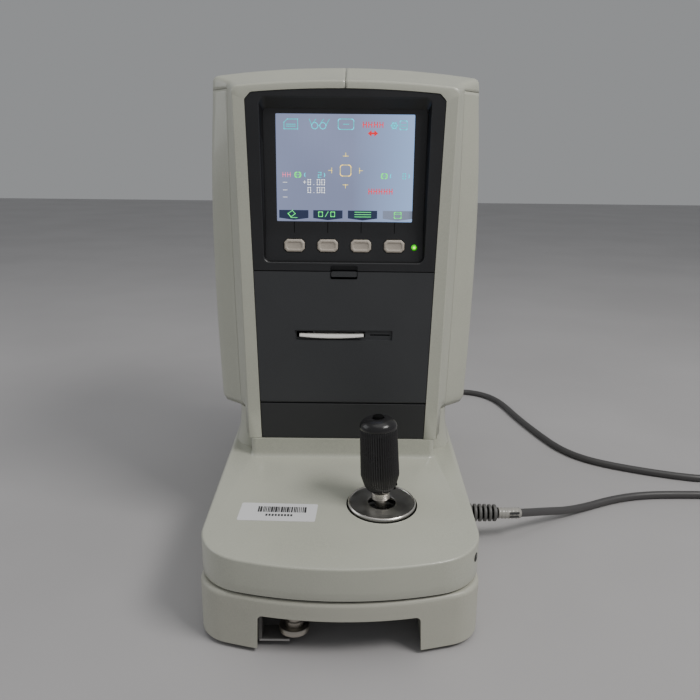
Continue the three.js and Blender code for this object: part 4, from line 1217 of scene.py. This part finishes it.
def add_tag():
    """A clear wrapped tag round the lead beside its strain relief, with two blank dark bars."""
    along = [p for p in centripetal(ROUTE, CORD_STEPS)[:40] if p.x < 173]

    def around(k, radius, angles):
        ahead = (along[min(k + 1, len(along) - 1)] - along[max(k - 1, 0)]).normalized()
        across = ahead.cross(Vector((0, 0, 1))).normalized()
        up = across.cross(ahead)
        return [tuple(along[k] + (across * math.cos(a) + up * math.sin(a)) * radius) for a in angles]

    turn = steps(0, 2 * math.pi, 28)[:-1]
    skin = [around(k, 5.2 + 0.35 * math.sin(k * 2.1), turn) for k in range(len(along))]
    wrap = sheet("tag_wrap", skin, 60, closed=True)
    edit_mesh(wrap.data)
    thicken(wrap, 0.5)
    finish(wrap, "base", "paper", TAG_FILM)
    bars = []
    for low in (-22, 14):
        span = [math.radians(a) for a in steps(low, low + 20, 3)]
        marked = [around(k, 5.95, span) for k in range(len(along) // 2, len(along) - 2)]
        bars.append(finish(sheet("tag_bar", marked, 60), "base", "paper", INK))
    return (wrap, *bars)


def add_plug():
    """A moulded plug with a ribbed boot and two flat blades."""
    body = prism("power_plug", box_outline(-2, 26, PLUG_D - 14, PLUG_D + 14, 5), 0.4, 22.4)
    round_edges(body, 1.4, 3)
    finish(body, "base", "black_plastic", BLACK, "power_plug")
    profile = [(0, 0), (7.4, 0)]
    for k in range(5):
        h, valley = 3.6 * k, 5.6 - 0.1 * k
        profile += [(7.2 - 0.3 * k, 2 + h), (valley, 2.4 + h), (valley, 4.6 + h), (6.9 - 0.3 * k, 5 + h)]
    profile += [(5.2, 23), (0, 23)]
    boot = turned("plug_boot", profile, 32, (PLUG_X - 23, PLUG_D, PLUG_Z), TO_RIGHT)
    finish(boot, "base", "black_plastic", BLACK)
    blades = []
    for number, v in enumerate((-6.35, 6.35)):
        d = PLUG_D + v
        blade = block("plug_blade_%d" % (number + 1), -20.5, -1, d - 0.75, d + 0.75, 8.25, 14.55)
        round_edges(blade, 0.4)
        blades.append(finish(blade, "base", "steel", STEEL))
    return (body, boot, *blades)


# --- pieces that keep their CAD mesh
def dress(material, slot, width, *nodes):
    for name in nodes:
        piece = NODES[name]
        paint(piece, material)
        shade(piece.data, 30)
        round_edges(piece, width, 3, 45)


def dress_inner_parts():
    dress(IVORY, "ivory_shell", 0.8, "chinrest_arm_left", "chinrest_arm_right", "chin_crossbar", "chin_cup",
          "forehead_bar")
    dress(PAD, "pad_grey", 1.2, "forehead_pad")
    dress(SHEET, "sheet_metal", 0.3, "base_plate", "cross_slide", "stage_plate", "head_chassis",
          "joystick_socket")
    dress(STEEL, "steel", 0.3, "rack_left", "rack_right", "cross_axle", "lead_screw")
    dress(CHROME, "chrome", 0.3, "guide_rod_left", "guide_rod_right")
    finish(block("bracket_edge", -59.8, -37.4, 13.7, 14.1, 5.2, 6.8), "base", "steel", STEEL)
    dress(BRACKET, "black_plastic", 0.4, "lock_bracket")
    dress(BLACK, "black_plastic", 0.4, "power_switch", "lift_motor", "gimbal_ring", "printer_bay",
          "optics_barrel", "window_ring")
    dress(CHARCOAL, "charcoal_panel", 0.5, "inner_column")
    dress(GLASS, "window", 0.2, "window_glass")
    dress(BOARD, "board", 0.2, "main_board")
    dress(PAPER, "paper", 0.3, "paper_roll")


# --- camera, floor and lights
def add_camera():
    data = bpy.data.cameras.new("camera")
    data.lens = 36.0
    data.sensor_width = 36.0
    camera = link("camera", data)
    camera.location = place(6, -439, 354)
    pitch, roll = math.radians(75), math.radians(0.6)
    turn = Euler((pitch, 0, 0)).to_matrix() @ Matrix.Rotation(roll, 3, "Z")
    camera.rotation_euler = turn.to_euler()
    bpy.context.scene.camera = camera


def add_area(name, at, aim, size, power, tint):
    data = bpy.data.lights.new(name, "AREA")
    data.shape = "RECTANGLE"
    data.size, data.size_y = size
    data.energy = power
    data.color = tint
    lamp = link(name, data)
    lamp.location = at
    lamp.rotation_euler = (Vector(aim) - Vector(at)).to_track_quat("-Z", "Y").to_euler()


def add_world():
    world = bpy.data.worlds.new("studio")
    bpy.context.scene.world = world
    world.use_nodes = True
    tree = world.node_tree
    wire(tree, tree.nodes["Background"], Color=(0.88, 0.9, 0.92), Strength=0.33)


def add_floor():
    half = 6.0
    mesh = bpy.data.meshes.new("floor")
    mesh.from_pydata([(-half, -half, 0), (half, -half, 0), (half, half, 0), (-half, half, 0)],
                     [], [(0, 1, 2, 3)])
    floor = link("floor", mesh)
    material, tree, surface = shader("table_top", (0.43, 0.42, 0.43), 0.55)
    cloud = remap(tree, add_noise(tree, 3, 4), 0.35, 0.65)
    wire(tree, surface, Base_Color=blend_color(tree, cloud, (0.415, 0.405, 0.41), (0.45, 0.44, 0.445)))
    mesh.materials.append(material)


def add_lights():
    add_area("key_light", (1.2, -0.85, 1.8), (0, 0, 0.2), (0.8, 0.6), 27, (1.0, 0.98, 0.95))
    add_area("fill_light", (-1.9, 0.1, 1.0), (0, 0, 0.2), (1.2, 1.2), 6.0, (0.97, 0.98, 1.0))
    add_area("top_light", (0.2, -0.3, 2.1), (0, 0, 0.1), (2.0, 1.4), 8, (1.0, 0.99, 0.97))


# --- the whole
for word, sign in (("left", -1), ("right", 1)):
    add_head_shell("head_shell_" + word, sign)
    add_side_panel("side_panel_" + word, sign)
add_rear_cover()
add_stage_cover()
add_base_housing()
add_bezel()
for number, centre in enumerate(KEY_CENTRES):
    add_key(number + 1, centre)
add_printer_door()
add_latch()
add_bay_flange()
add_lower_panel()
add_paper()
add_screen()
add_key_leads()
add_lamp()
add_joystick()
add_label()
add_side_screw()
add_base_details()
add_cord()
dress_inner_parts()

add_camera()
add_world()
add_floor()
add_lights()
